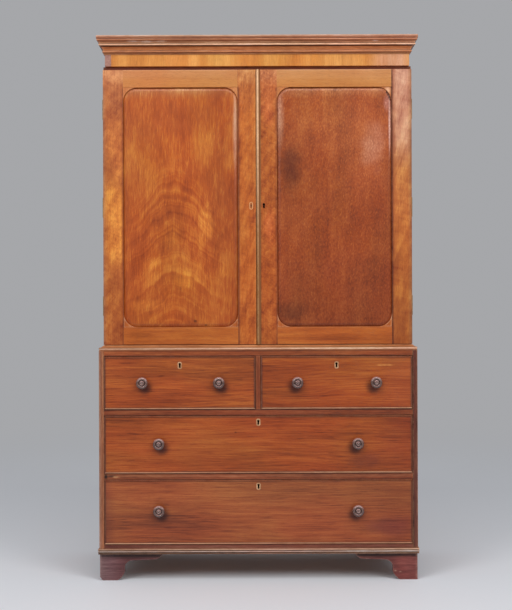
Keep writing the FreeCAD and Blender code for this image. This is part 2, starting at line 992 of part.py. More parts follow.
top_rod_throw = door_head_gap + rod_engagement
bottom_rod_throw = door_bottom_gap + rod_engagement
rod_x = door_inner + rod_inset
rod_y = door_back - rod_cover


def rod_keep(z, direction):
    """Cutter for the hole that a left door bolt is thrown into."""
    depth = rod_engagement + bolt_pocket_spare
    return cylinder(rod_radius + bolt_clearance, depth, Vector(-rod_x, rod_y, z), direction)


def frieze_front():
    """The right end runs through to the corner; the left return shows its end beside it."""
    x = (-frieze_half + frieze_thickness, frieze_half)
    board = slab(x, (frieze_face, frieze_face + frieze_thickness), (frieze_floor, cornice_floor))
    return board.cut(rod_keep(frieze_floor, Z_AXIS))


def frieze_returns():
    x = (frieze_half - frieze_thickness, frieze_half)
    z = (frieze_floor, cornice_floor)
    left = mirrored(slab(x, (frieze_face, back), z))
    right = slab(x, (frieze_face + frieze_thickness, back), z)
    return [left, right]


def cornice_section():
    """Cornice from its foot up: a fillet and bead, a hollow, a larger bead, a cove under an
    ovolo, and the top fillet. Members are drawn by distance out from the frieze and height."""

    def at(out, height):
        return (cornice_projection - out, height)

    inner = cornice_projection + frieze_thickness
    return [
        at(3, 0),
        at(3, 4.2),
        at(5, 4.6),
        (at(9, 9.5), at(5.5, 14.2)),
        at(6.8, 14.8),
        (at(8.8, 23), at(15.5, 29.4)),
        at(17.5, 31),
        (at(21.8, 35), at(17.5, 39)),
        at(19.5, 39.8),
        (at(20.3, 43.2), at(23.2, 46.4)),
        (at(27.6, 49.6), at(28.8, 54.8)),
        at(28.8, 57.4),
        at(cornice_projection, 57.4),
        at(cornice_projection, cornice_height),
        (inner, cornice_height),
        (inner, 0),
    ]


def cornice_mouldings():
    x = frieze_half + cornice_projection
    y = frieze_face - cornice_projection
    reach = cornice_projection + frieze_thickness
    left = Vector(-x, y, cornice_floor)
    right = Vector(x, y, cornice_floor)
    rear = Vector(x, back, cornice_floor)
    long_piece = strip(left, right, Y_AXIS, Z_AXIS, cornice_section(), reach)
    side = strip(right, rear, -X_AXIS, Z_AXIS, cornice_section(), reach, True, False)
    return long_piece, both_sides(side)


def cornice_blocks():
    """Rear rail of the loose cornice, and the glue blocks inside it."""
    inner = frieze_half - frieze_thickness
    inner_y = frieze_face + frieze_thickness
    full_z = (frieze_floor, overall_height - cornice_block_drop)
    joint_z = (cornice_floor - cornice_block / 2, cornice_floor + cornice_block / 2)
    front_y = (inner_y, inner_y + cornice_block)
    side_x = (inner - cornice_block, inner)
    half_length = cornice_block_length / 2
    pieces = [slab((-inner, inner), (back - cornice_rail, back), full_z)]
    pieces += both_sides(slab(side_x, front_y, full_z))
    for x in spread(-side_x[0], side_x[0], cornice_front_blocks):
        pieces.append(slab((x - half_length, x + half_length), front_y, joint_z))
    for y in spread(front_y[1], back - cornice_rail, cornice_side_blocks):
        pieces += both_sides(slab(side_x, (y - half_length, y + half_length), joint_z))
    return pieces


# ---------------------------------------------------------------- hinges

hinge_levels = (
    door_bottom + hinge_end_distance,
    (door_bottom + door_top) / 2,
    door_top - hinge_end_distance,
)


def knuckle_zones(level, moving):
    """Heights of the knuckles of one leaf, alternating up the hinge."""
    pitch = hinge_height / knuckle_count
    low = level - hinge_height / 2
    gap = knuckle_gap / 2
    wanted = range(1 if moving else 0, knuckle_count, 2)
    return [(low + pitch * i + gap, low + pitch * (i + 1) - gap) for i in wanted]


def hinge_axis_point(z):
    return Vector(pin_x, door_back, z)


def hinge_leaf_solid(level, moving):
    """Right-hand leaf. The fixed one carries the pin; the moving one turns on it."""
    z = (level - hinge_height / 2, level + hinge_height / 2)
    x = (pin_x - hinge_leaf, pin_x)
    if moving:
        y = (door_back - hinge_leaf_thickness, door_back)
    else:
        y = (door_back, door_back + hinge_leaf_thickness)
    clear = cylinder(
        hinge_knuckle_radius + hinge_clearance, hinge_height, hinge_axis_point(z[0]), Z_AXIS
    )
    pieces = []
    for low, high in knuckle_zones(level, moving):
        pieces.append(cylinder(hinge_knuckle_radius, high - low, hinge_axis_point(low), Z_AXIS))
        pieces.append(slab((x[1] - hinge_knuckle_radius * 2, x[1]), y, (low, high)))
    leaf = joined([slab(x, y, z).cut(clear), *pieces])
    pin = hinge_pin(z, pin_clearance if moving else 0.0)
    return leaf.cut(pin) if moving else joined([leaf, pin])


def hinge_pin(z, grow):
    return cylinder(hinge_pin_radius + grow, z[1] - z[0], hinge_axis_point(z[0]), Z_AXIS)


def hinge_recesses():
    """Cutters for the leaves and knuckles in the right door and the right case side."""
    cutters = []
    for level in hinge_levels:
        z = (level - hinge_height / 2, level + hinge_height / 2)
        x = (pin_x - hinge_leaf, pin_x)
        y = (door_back - hinge_leaf_thickness, door_back + hinge_leaf_thickness)
        cutters.append(slab(x, y, z))
        radius = hinge_knuckle_radius + hinge_clearance
        cutters.append(cylinder(radius, hinge_height, hinge_axis_point(z[0]), Z_AXIS))
    return cutters


def hinge_leaves(moving):
    return [hinge_leaf_solid(level, moving) for level in hinge_levels]


# ---------------------------------------------------------------- doors

door_y = (door_face, door_back)
panel_y = (door_face + panel_depth, door_face + panel_depth + panel_thickness)


def panel_plate():
    x = (opening_inner - panel_tongue, opening_outer + panel_tongue)
    z = (opening_low - panel_tongue, opening_high + panel_tongue)
    return slab(x, panel_y, z)


def door_panel():
    """Flat panel with a raised field whose bevel follows the rounded corners."""
    outer = rounded_rectangle(
        (opening_inner, opening_outer), (opening_low, opening_high), panel_y[0], corner_radius
    )
    inner = rounded_rectangle(
        (opening_inner + panel_bevel, opening_outer - panel_bevel),
        (opening_low + panel_bevel, opening_high - panel_bevel),
        panel_y[0] - panel_rise,
        corner_radius - panel_bevel,
    )
    field = Part.makeLoft([outer, inner], True, True)
    return joined([panel_plate(), field])


def spandrel(x, z, inward_x, inward_z, sink):
    """Corner piece with a hollow quarter-round edge."""
    radius = corner_radius
    middle = radius * (1 - math.sqrt(0.5))

    def place(across, up):
        return Vector(x + inward_x * across, door_face + sink, z + inward_z * up)

    moves = [(radius, 0), ((middle, middle), (0, radius))]
    return section(place, (0, 0), moves).extrude(Y_AXIS * (panel_depth - sink))


def door_spandrels(dropped=None):
    """Four corner pieces; the one named in dropped sits a little deeper."""
    pieces = []
    for x, inward_x in ((opening_inner, 1), (opening_outer, -1)):
        for z, inward_z in ((opening_low, 1), (opening_high, -1)):
            sink = spandrel_sink
            if (x, z) == dropped:
                sink += spandrel_drop
            pieces.append(spandrel(x, z, inward_x, inward_z, sink))
    return pieces


def door_rails():
    rails = []
    for low, high in ((door_bottom, opening_low), (opening_high, door_top)):
        body = slab((opening_inner, opening_outer), door_y, (low, high))
        tenon_x = (opening_inner - tenon_length, opening_outer + tenon_length)
        tenon_z = (low + tenon_shoulder, high - tenon_shoulder)
        rails.append(joined([body, slab(tenon_x, panel_y, tenon_z)]))
    return rails


def door_stiles(rails):
    z = (door_bottom, door_top)
    inner = slab((door_inner, opening_inner), door_y, z)
    outer = slab((opening_outer, door_outer), door_y, z)
    cutters = [panel_plate(), *rails]
    return [less(inner, cutters), less(outer, [*cutters, *hinge_recesses()])]


def astragal():
    """Beaded strip on the right door that fills the gap between the doors."""
    edge = -door_inner + astragal_gap
    bead_start = edge + astragal_bead_inset
    bead_end = bead_start + astragal_bead_width
    crown = ((bead_start + bead_end) / 2, -astragal_flange - astragal_bead_rise)

    def place(x, y):
        return Vector(x, door_face + y, door_bottom)

    moves = [
        (edge, -astragal_flange),
        (bead_start, -astragal_flange),
        (crown, (bead_end, -astragal_flange)),
        (edge + astragal_width, -astragal_flange),
        (edge + astragal_width, 0),
        (door_inner, 0),
        (door_inner, door_thickness),
    ]
    return section(place, (edge, door_thickness), moves).extrude(Z_AXIS * (door_top - door_bottom))


door_bolt_y = (
    door_back - lock_plate - door_lock_depth / 2 - door_bolt_thickness / 2,
    door_back - lock_plate - door_lock_depth / 2 + door_bolt_thickness / 2,
)


def door_lock_bolt(grow=0.0, travel=0.0):
    """Bolt of the door lock, drawn in, with its end flush with the astragal's edge."""
    tip = -door_inner + astragal_gap
    y = (door_bolt_y[0] - grow, door_bolt_y[1] + grow)
    half = door_bolt_height / 2 + grow
    z = (door_keyhole_height - half, door_keyhole_height + half)
    return slab((tip - travel, tip + door_bolt_length + grow), y, z)


def door_lock_body():
    half = door_lock_height / 2
    z = (door_keyhole_height - half, door_keyhole_height + half)
    x = (door_inner, door_inner + door_lock_width)
    case_y = (door_back - lock_plate - door_lock_depth, door_back - lock_plate)
    case = slab(x, case_y, (z[0] + lock_plate_margin, z[1] - lock_plate_margin))
    plate = slab((x[0], x[1] + lock_plate_margin), (case_y[1], door_back), z)
    edge_plate = slab((x[0], x[0] + lock_plate), (case_y[0], door_back), z)
    return joined([case, plate, edge_plate])


def door_keyhole(y):
    return keyhole(
        door_keyhole_inset, door_keyhole_height, y, keyhole_radius, keyhole_slot, keyhole_length
    )


def rod_bolt(end_z, direction):
    """Round bolt with a thumb button, drawn in, for a left door's top or bottom."""
    base = Vector(-rod_x, rod_y, end_z - direction * rod_length)
    rod = cylinder(rod_radius, rod_length, base, Z_AXIS * direction)
    button_z = end_z - direction * (rod_length - button_radius)
    button_length = rod_cover - bolt_clearance
    button = cylinder(button_radius, button_length, Vector(-rod_x, rod_y, button_z), Y_AXIS)
    return joined([rod, button])


def rod_bolt_plate(end_z, direction, throw):
    """Flush plate with a slot for the button and a guide tab at the door's edge."""
    half = bolt_plate_width / 2
    x = (-rod_x - half, -rod_x + half)
    far = end_z - direction * bolt_plate_length
    plate = slab(x, (door_back - lock_plate, door_back), sorted((far, end_z)))
    tab_y = (rod_y - rod_cover, door_back)
    tab = slab(x, tab_y, sorted((end_z - direction * lock_plate, end_z)))
    whole = joined([plate, tab])
    button_z = end_z - direction * (rod_length - button_radius)
    slot_half = button_radius + bolt_clearance
    slot_z = sorted((button_z - direction * slot_half, button_z + direction * (throw + slot_half)))
    slot = slab((-rod_x - slot_half, -rod_x + slot_half), (rod_y, door_back), slot_z)
    guide_end = Vector(-rod_x, rod_y, end_z + direction * lock_plate)
    guide = cylinder(rod_radius + pin_clearance, lock_plate * 3, guide_end, -Z_AXIS * direction)
    return less(whole, [slot, guide])


def rod_bolt_channel(end_z, direction):
    """Cutter for the rod's channel in the back of the door stile."""
    half = button_radius + 2 * bolt_clearance
    length = bolt_plate_length - bolt_plate_margin
    z = sorted((end_z - direction * length, end_z))
    y = (rod_y - button_radius - bolt_clearance, door_back)
    return slab((-rod_x - half, -rod_x + half), y, z)


def blank_escutcheon():
    """Thin brass line let into the left door round a filled keyhole."""
    half_x, half_z = blank_escutcheon_width / 2, blank_escutcheon_height / 2
    line = blank_escutcheon_line
    rings = []
    for shrink in (0.0, line):
        x = (-door_keyhole_inset - half_x + shrink, -door_keyhole_inset + half_x - shrink)
        z = (door_keyhole_height - half_z + shrink, door_keyhole_height + half_z - shrink)
        radius = half_x - shrink - blank_escutcheon_flat
        plate = Part.Face(rounded_rectangle(x, z, door_face, radius))
        rings.append(plate.extrude(Y_AXIS * escutcheon_depth))
    return rings[0].cut(rings[1])


def right_door():
    rails = door_rails()
    panel = door_panel()
    stiles = door_stiles(rails)
    lock_body = door_lock_body()
    case_front = door_back - lock_plate - door_lock_depth
    stiles[0] = less(stiles[0], [lock_body, door_keyhole((door_face, case_front))])
    bolt_space = door_lock_bolt(bolt_clearance, bolt_clearance)
    lock = less(lock_body, [bolt_space, door_keyhole((case_front, door_bolt_y[1]))])
    stiles[0] = stiles[0].cut(bolt_space)
    return {
        "right_door_stiles": stiles,
        "right_door_rails": [rail.cut(panel_plate()) for rail in rails],
        "right_door_panel": [panel],
        "right_door_spandrels": door_spandrels((opening_outer, opening_high)),
        "right_door_hinge_leaves": hinge_leaves(True),
        "right_door_astragal": [astragal().cut(bolt_space)],
        "right_door_lock": [lock],
        "right_door_lock_bolt": [door_lock_bolt()],
    }


def left_door():
    rails = [mirrored(rail) for rail in door_rails()]
    plate = mirrored(panel_plate())
    stiles = [mirrored(stile) for stile in door_stiles(door_rails())]
    bolt_ends = ((door_top, 1, top_rod_throw), (door_bottom, -1, bottom_rod_throw))
    plates = [rod_bolt_plate(end, direction, throw) for end, direction, throw in bolt_ends]
    channels = [rod_bolt_channel(end, direction) for end, direction, throw in bolt_ends]
    escutcheon = blank_escutcheon()
    mortise = door_lock_bolt(bolt_clearance, door_bolt_throw + bolt_pocket_spare)
    stiles[0] = less(stiles[0], [*plates, *channels, escutcheon, mortise])
    leaves = [mirrored(leaf) for leaf in hinge_leaves(True)]
    return {
        "left_door_stiles": stiles,
        "left_door_rails": [rail.cut(plate) for rail in rails],
        "left_door_panel": [mirrored(door_panel())],
        "left_door_spandrels": [mirrored(piece) for piece in door_spandrels()],
        "left_door_brass": [*leaves, *plates, escutcheon],
        "left_door_top_bolt": [rod_bolt(door_top, 1)],
        "left_door_bottom_bolt": [rod_bolt(door_bottom, -1)],
    }


# ---------------------------------------------------------------- the whole press


def lower_case():
    boards = lower_boards()
    pockets = [drawer_bolt_pocket(spec) for spec in drawer_specs]
    divider = drawer_divider()
    rails = [less(drawer_rail(row), [*pockets, divider, *dustboards()]) for row in (0, 1)]
    return {
        "bracket_feet": bracket_feet(),
        "base_moulding": base_moulding(),
        "lower_sides": both_sides(lower_side()),
        "lower_bottom": [boards["lower_bottom"]],
        "lower_top": [less(boards["lower_top"], [*pockets, divider])],
        "lower_back_boards": lower_back_boards(),
        "drawer_rails": [*rails, divider],
        "drawer_runners": drawer_runners(),
        "dustboards": dustboards(),
        "waist_moulding": waist_moulding(),
    }


def upper_case():
    long_piece, returns = cornice_mouldings()
    fixed_leaves = hinge_leaves(False)
    nodes = {
        "upper_sides": both_sides(upper_side()),
        "upper_bottom": [upper_bottom_board()],
        "upper_top": [upper_top()],
        "upper_back_boards": upper_back_boards(),
        "tray_runners": tray_runners(),
        "frieze_front": [frieze_front()],
        "frieze_returns": frieze_returns(),
        "cornice_front": [long_piece],
        "cornice_returns": returns,
        "case_hinge_leaves": [*fixed_leaves, *(mirrored(leaf) for leaf in fixed_leaves)],
    }
    for index in range(tray_count):
        nodes[f"tray_{index + 1}"] = tray(index)
    return nodes


def linen_press():
    nodes = {**lower_case(), **upper_case(), **left_door(), **right_door()}
    nodes["glue_blocks"] = [*foot_blocks(), *cornice_blocks()]
    for spec in drawer_specs:
        nodes.update(drawer(spec))
    return nodes


os.makedirs("parts", exist_ok=True)
for name, solids in linen_press().items():
    Part.makeCompound(solids).exportStep(f"parts/{name}.step")
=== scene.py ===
import math

import bmesh
import bpy
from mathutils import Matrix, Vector


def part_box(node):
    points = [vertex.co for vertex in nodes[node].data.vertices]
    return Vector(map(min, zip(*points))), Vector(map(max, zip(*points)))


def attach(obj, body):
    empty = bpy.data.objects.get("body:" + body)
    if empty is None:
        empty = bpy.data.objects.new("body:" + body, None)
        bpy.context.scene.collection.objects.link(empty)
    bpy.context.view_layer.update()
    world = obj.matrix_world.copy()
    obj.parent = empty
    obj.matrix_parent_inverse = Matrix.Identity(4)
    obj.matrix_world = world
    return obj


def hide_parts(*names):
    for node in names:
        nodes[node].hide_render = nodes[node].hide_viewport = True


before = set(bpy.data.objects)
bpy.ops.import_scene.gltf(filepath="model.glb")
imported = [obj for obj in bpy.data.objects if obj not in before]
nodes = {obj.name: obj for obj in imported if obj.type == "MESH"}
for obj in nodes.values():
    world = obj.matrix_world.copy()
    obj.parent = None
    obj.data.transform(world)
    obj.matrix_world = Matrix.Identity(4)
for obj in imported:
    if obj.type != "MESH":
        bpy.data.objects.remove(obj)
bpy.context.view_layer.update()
scene = bpy.context.scene


def settle(made, **settings):
    """Sets what is given on a node or a modifier, and gives it back."""
    for name, value in settings.items():
        setattr(made, name, value)
    return made


# -------- camera

CASE_FRONT = -0.2535
CAMERA_DISTANCE = 4.5
CAMERA_HEIGHT = 1.0596
CAMERA_SIDE = -0.0073
CAMERA_ROLL = 0.0036
FOCAL_PIXELS = 1168.0
LONG_SIDE_PIXELS = 610.0
SENSOR = 36.0

camera_data = bpy.data.cameras.new("camera")
camera_data.sensor_width = SENSOR
camera_data.lens = FOCAL_PIXELS / LONG_SIDE_PIXELS * SENSOR
camera = bpy.data.objects.new("camera", camera_data)
camera.location = (CAMERA_SIDE, CASE_FRONT - CAMERA_DISTANCE, CAMERA_HEIGHT)
camera.rotation_euler = (math.pi / 2, CAMERA_ROLL, 0)
scene.collection.objects.link(camera)
scene.camera = camera

# -------- light

scene.view_settings.view_transform = "Standard"


def area_light(name, location, target, size, power):
    data = bpy.data.lights.new(name, "AREA")
    data.shape = "RECTANGLE"
    data.size, data.size_y = size
    data.energy = power
    light = bpy.data.objects.new(name, data)
    light.location = location
    aim = Vector(target) - Vector(location)
    light.rotation_euler = aim.to_track_quat("-Z", "Y").to_euler()
    scene.collection.objects.link(light)


area_light("left", (-2.3, -3.4, 3.0), (0, 0, 1.2), (2.0, 2.0), 48)
area_light("right", (2.5, -3.3, 3.0), (0, 0, 1.2), (2.0, 2.0), 50)
area_light("top", (0, -2.0, 4.2), (0, -0.3, 1.0), (3.0, 1.0), 42)

BACKDROP = (0.38, 0.385, 0.4, 1)
world = bpy.data.worlds.new("studio")
scene.world = world
world.use_nodes = True
background = world.node_tree.nodes["Background"]
background.inputs["Color"].default_value = BACKDROP
background.inputs["Strength"].default_value = 1.0

# -------- shader tools


def linear(red, green, blue):
    """Shader colour for one given as it shows, 0 to 255."""
    shares = (value / 255 for value in (red, green, blue))
    return (*(((s + 0.055) / 1.055) ** 2.4 if s > 0.04045 else s / 12.92 for s in shares), 1.0)


class Shader:
    """One material's nodes. Coordinates are the object's own, in metres, as in the frame."""

    def __init__(self, name):
        self.material = bpy.data.materials.new(name)
        self.material.use_nodes = True
        self.tree = self.material.node_tree
        self.surface = self.tree.nodes["Principled BSDF"]
        coordinates = self.node("ShaderNodeTexCoord")
        self.place = coordinates.outputs["Object"]
        self.facing = coordinates.outputs["Normal"]

    def node(self, kind, **settings):
        return settle(self.tree.nodes.new(kind), **settings)

    def feed(self, socket, value):
        if isinstance(value, bpy.types.NodeSocket):
            self.tree.links.new(value, socket)
        else:
            socket.default_value = value

    def apply(self, made, values, output=0):
        """Feeds a node's inputs in their order, and gives one output."""
        for socket, value in zip(made.inputs, values):
            self.feed(socket, value)
        return made.outputs[output]

    def fill(self, made, output, **values):
        """Feeds inputs by name, with a low line for each space, and gives one output."""
        for name, value in values.items():
            self.feed(made.inputs[name.replace("_", " ")], value)
        return made.outputs[output]

    def math(self, operation, *values, clamp=False):
        made = self.node("ShaderNodeMath", operation=operation, use_clamp=clamp)
        return self.apply(made, values)

    def vector(self, operation, *values, output=0):
        made = self.node("ShaderNodeVectorMath", operation=operation)
        return self.apply(made, values, output)

    def split(self, place):
        """The x, y and z of a place."""
        made = self.node("ShaderNodeSeparateXYZ")
        self.feed(made.inputs[0], place)
        return made.outputs

    def joined(self, *values):
        return self.apply(self.node("ShaderNodeCombineXYZ"), values)

    def scaled(self, place, scale, offset=(0, 0, 0)):
        return self.vector("MULTIPLY_ADD", place, scale, offset)

    def turned(self, place, angle):
        made = self.node("ShaderNodeVectorRotate", rotation_type="Z_AXIS")
        return self.fill(made, 0, Vector=place, Angle=angle)

    def noise(self, place, detail=2, roughness=0.5, output="Fac", distortion=0):
        made = self.node("ShaderNodeTexNoise", noise_dimensions="3D")
        self.fill(made, output, Vector=place, Scale=1, Detail=detail)
        return self.fill(made, output, Roughness=roughness, Distortion=distortion)

    def noise_along(self, value, detail, roughness=0.5):
        made = self.node("ShaderNodeTexNoise", noise_dimensions="1D")
        return self.fill(made, "Fac", W=value, Scale=1, Detail=detail, Roughness=roughness)

    def cloud(self, scale, detail, roughness=0.5, offset=(0, 0, 0)):
        """Noise that is alike in every direction of the object."""
        return self.noise(self.scaled(self.place, (scale, scale, scale), offset), detail, roughness)

    def remap(self, value, low, high, to_low=0, to_high=1):
        made = self.node("ShaderNodeMapRange", interpolation_type="SMOOTHSTEP")
        return self.apply(made, (value, low, high, to_low, to_high))

    def mix(self, factor, a, b, blend="MIX"):
        made = self.node("ShaderNodeMix", data_type="RGBA", blend_type=blend, clamp_factor=True)
        return self.fill(made, "Result", Factor=factor, A=a, B=b)

    def lay(self, colour, tone, mask, amount):
        """Lays a tone over a colour where the mask is, as strong as the amount."""
        return self.mix(self.math("MULTIPLY", mask, amount), colour, linear(*tone))

    def ramp(self, value, stops):
        """The outputs of a colour ramp whose stops are each a position and a colour."""
        made = self.node("ShaderNodeValToRGB")
        points = made.color_ramp.elements
        while len(points) < len(stops):
            points.new(0.5)
        for point, (position, colour) in zip(points, stops):
            point.position, point.color = position, colour
        self.feed(made.inputs["Fac"], value)
        return made.outputs

    def set(self, **values):
        self.fill(self.surface, 0, **values)

    def bump(self, height, distance, strength, under=None):
        made = self.node("ShaderNodeBump")
        if under is not None:
            self.feed(made.inputs["Normal"], under)
        return self.fill(made, "Normal", Strength=strength, Distance=distance, Height=height)

    def corners(self, distance, inside):
        """How open the surface is within a short distance: low in hollows, or on arrises."""
        made = self.node("ShaderNodeAmbientOcclusion", samples=6, inside=inside, only_local=True)
        return self.fill(made, "AO", Distance=distance)


# -------- wood

X, Z = 0, 2
GRAIN_ORDER = {"x": (0, 2, 1), "z": (2, 0, 1), "y": (1, 2, 0)}
SEED_STEP = (3.7, 1.3, 2.1)
PLANK_STEP = (1.37, 0.71)
PLANK_TONE = 3.71


def along_grain(shader, axis, seed, planks):
    """Coordinates turned so that x runs along the grain, y across it and z into the board.

    They are given as they are and moved by the seed, then the unturned x, y and z. Planks, given
    by their width and where the first one starts, are moved each on its own and numbered.
    """
    apart = shader.split(shader.place)
    plain = shader.joined(*(apart[index] for index in GRAIN_ORDER[axis]))
    place = shader.vector("ADD", plain, tuple(seed * step for step in SEED_STEP))
    number = None
    if planks:
        width, start = planks
        number = shader.math("DIVIDE", shader.math("SUBTRACT", apart[X], start), width)
        number = shader.math("FLOOR", number)
        along, into = (shader.math("MULTIPLY", number, step) for step in PLANK_STEP)
        place = shader.vector("ADD", place, shader.joined(along, 0, into))
    return plain, place, apart, number


def centred(shader, noise, weight):
    """A noise turned into a push up or down."""
    return shader.math("MULTIPLY", shader.math("SUBTRACT", noise, 0.5), weight)


def pushed(shader, value, noise, weight):
    return shader.math("ADD", value, centred(shader, noise, weight))


def spot_mask(shader, seed, centre, reach, ragged=None):
    """Soft patch round a place of the front, in metres: 1 in its middle and 0 beyond its reach."""
    x, z = centre
    away = shader.vector("SUBTRACT", shader.place, (x, 0, z))
    away = shader.vector("MULTIPLY", away, (1 / reach[0], 0, 1 / reach[1]))
    distance = shader.vector("LENGTH", away, output="Value")
    if ragged:
        wander = shader.cloud(ragged, 3, offset=(seed, 0, seed))
        distance = pushed(shader, distance, wander, 1.2)
    return shader.remap(distance, 1, 0.15)


def border_mask(shader, apart, x, z, width):
    """1 at the edges of a rectangle of the front, fading out over a width inside it."""
    gaps = []
    for output, (low, high) in ((apart[X], x), (apart[Z], z)):
        off_middle = shader.math("ABSOLUTE", shader.math("SUBTRACT", output, (low + high) / 2))
        gaps.append(shader.math("SUBTRACT", (high - low) / 2, off_middle))
    return shader.remap(shader.math("MINIMUM", *gaps), width, 0)


TINT_SWAY = 0.0007
TINT_FADE = 0.01


def spread_out(stops):
    """Stops of one place each, of stops that are for one place or for both ends of a band."""
    for places, *rest in stops:
        for place in places if isinstance(places, tuple) else (places,):
            yield place, *rest


def up(*stops):
    """Bands by height, of tone and of painted light and shade. Each stop is one place or a band in
    metres, a tone and its strength.
    """
    return Z, list(spread_out(stops)), None


def across(*stops, top=None):
    """Bands by place from left to right, of tone and of painted light and shade, with such stops,
    up to a height if one is given.
    """
    return X, list(spread_out(stops)), top


def banded(shader, colour, apart, uneven, tint):
    """Lays bands of tone and of painted light and shade over a wood."""
    axis, stops, top = tint
    low, high = stops[0][0], stops[-1][0]
    spot = pushed(shader, apart[axis], uneven, TINT_SWAY)
    share = shader.apply(shader.node("ShaderNodeMapRange"), (spot, low, high, 0, 1))
    tones = shader.ramp(share, [
        ((place - low) / (high - low), (*linear(*tone)[:3], part)) for place, *tone, part in stops
    ])
    amount = shader.math("MULTIPLY", tones["Alpha"], shader.remap(uneven, 0.2, 0.55, 0.7, 1))
    if top:
        below = shader.remap(apart[Z], top + TINT_FADE, top - TINT_FADE)
        amount = shader.math("MULTIPLY", amount, below)
    return shader.mix(amount, colour, tones["Color"])


def ring_figure(shader, place, centre, slope, width, density, weight, reach, lean=0, warp=0.03):
    """Nested arches where a flat cut runs through the growth rings."""
    moved = shader.noise(shader.scaled(place, (4, 8, 8)), 3, 0.55, "Color")
    moved = shader.scaled(moved, (warp * 2, warp, warp), (-warp, -warp / 2, -warp / 2))
    moved = shader.vector("SUBTRACT", shader.vector("ADD", place, moved), (*centre, 0))
    along, sideways, _ = shader.split(moved)
    spread = shader.math("ADD", shader.math("MULTIPLY", sideways, sideways), width * width)
    steep = shader.math("ADD", slope, shader.math("MULTIPLY", along, lean))
    level = shader.math("MULTIPLY", shader.math("SQRT", spread), steep)
    level = shader.math("MULTIPLY", shader.math("ADD", along, level), density)
    bands = centred(shader, shader.noise_along(level, 3, 0.6), weight)
    away = shader.vector("MULTIPLY", moved, (1 / reach[0], 1 / reach[1], 0))
    away = shader.vector("LENGTH", away, output="Value")
    return shader.math("MULTIPLY", bands, shader.remap(away, 1.1, 0.4))


FIGURE_ROOM = 4
WANDER_SCALE = (1.6, 6, 6)
PLANK_WEIGHT = 0.7
TONE_STOPS = (0.2, 0.5, 0.8)
TINT_CLOUD = 14
DASHES = (0.56, 0.7)
PORE_SCALE = (70, 1500, 1500)
PORES = (0.42, 0.34)
PORE_TONE = (58, 22, 12)
PORE_AMOUNT = 0.35
PORE_DULLNESS = 0.15
# Painted shade in hollows: its reach, the openness it fades in over, and its dark tone.
HOLLOW_SHADE_REACH = 0.012
HOLLOWS = (0.95, 0.4)
HOLLOW_SHADE_TONE = (30, 12, 8)
WEAR_REACH = 0.006
ARRISES = (0.92, 0.55)
SCUFF_CLOUD = 38
SCUFFS = (0.3, 0.62)
FACING_FADE = 0.7
HUE_SCALE = (2.5, 7, 7)
WARM_CAST = (1.06, 0.9, 0.86, 1)
GREEN_CAST = (0.97, 1.08, 1, 1)
GLOSS_CLOUD = 7
SWAY_CLOUD = 4.5
SWAY_DEPTH = 0.004
GRAIN_DEPTH = 0.00025


def against(tone, mid):
    """How much lighter or darker a tone is than another, scaled to stay within a colour ramp."""
    return (*(value / base / FIGURE_ROOM for value, base in zip(tone[:3], mid[:3])), 1)


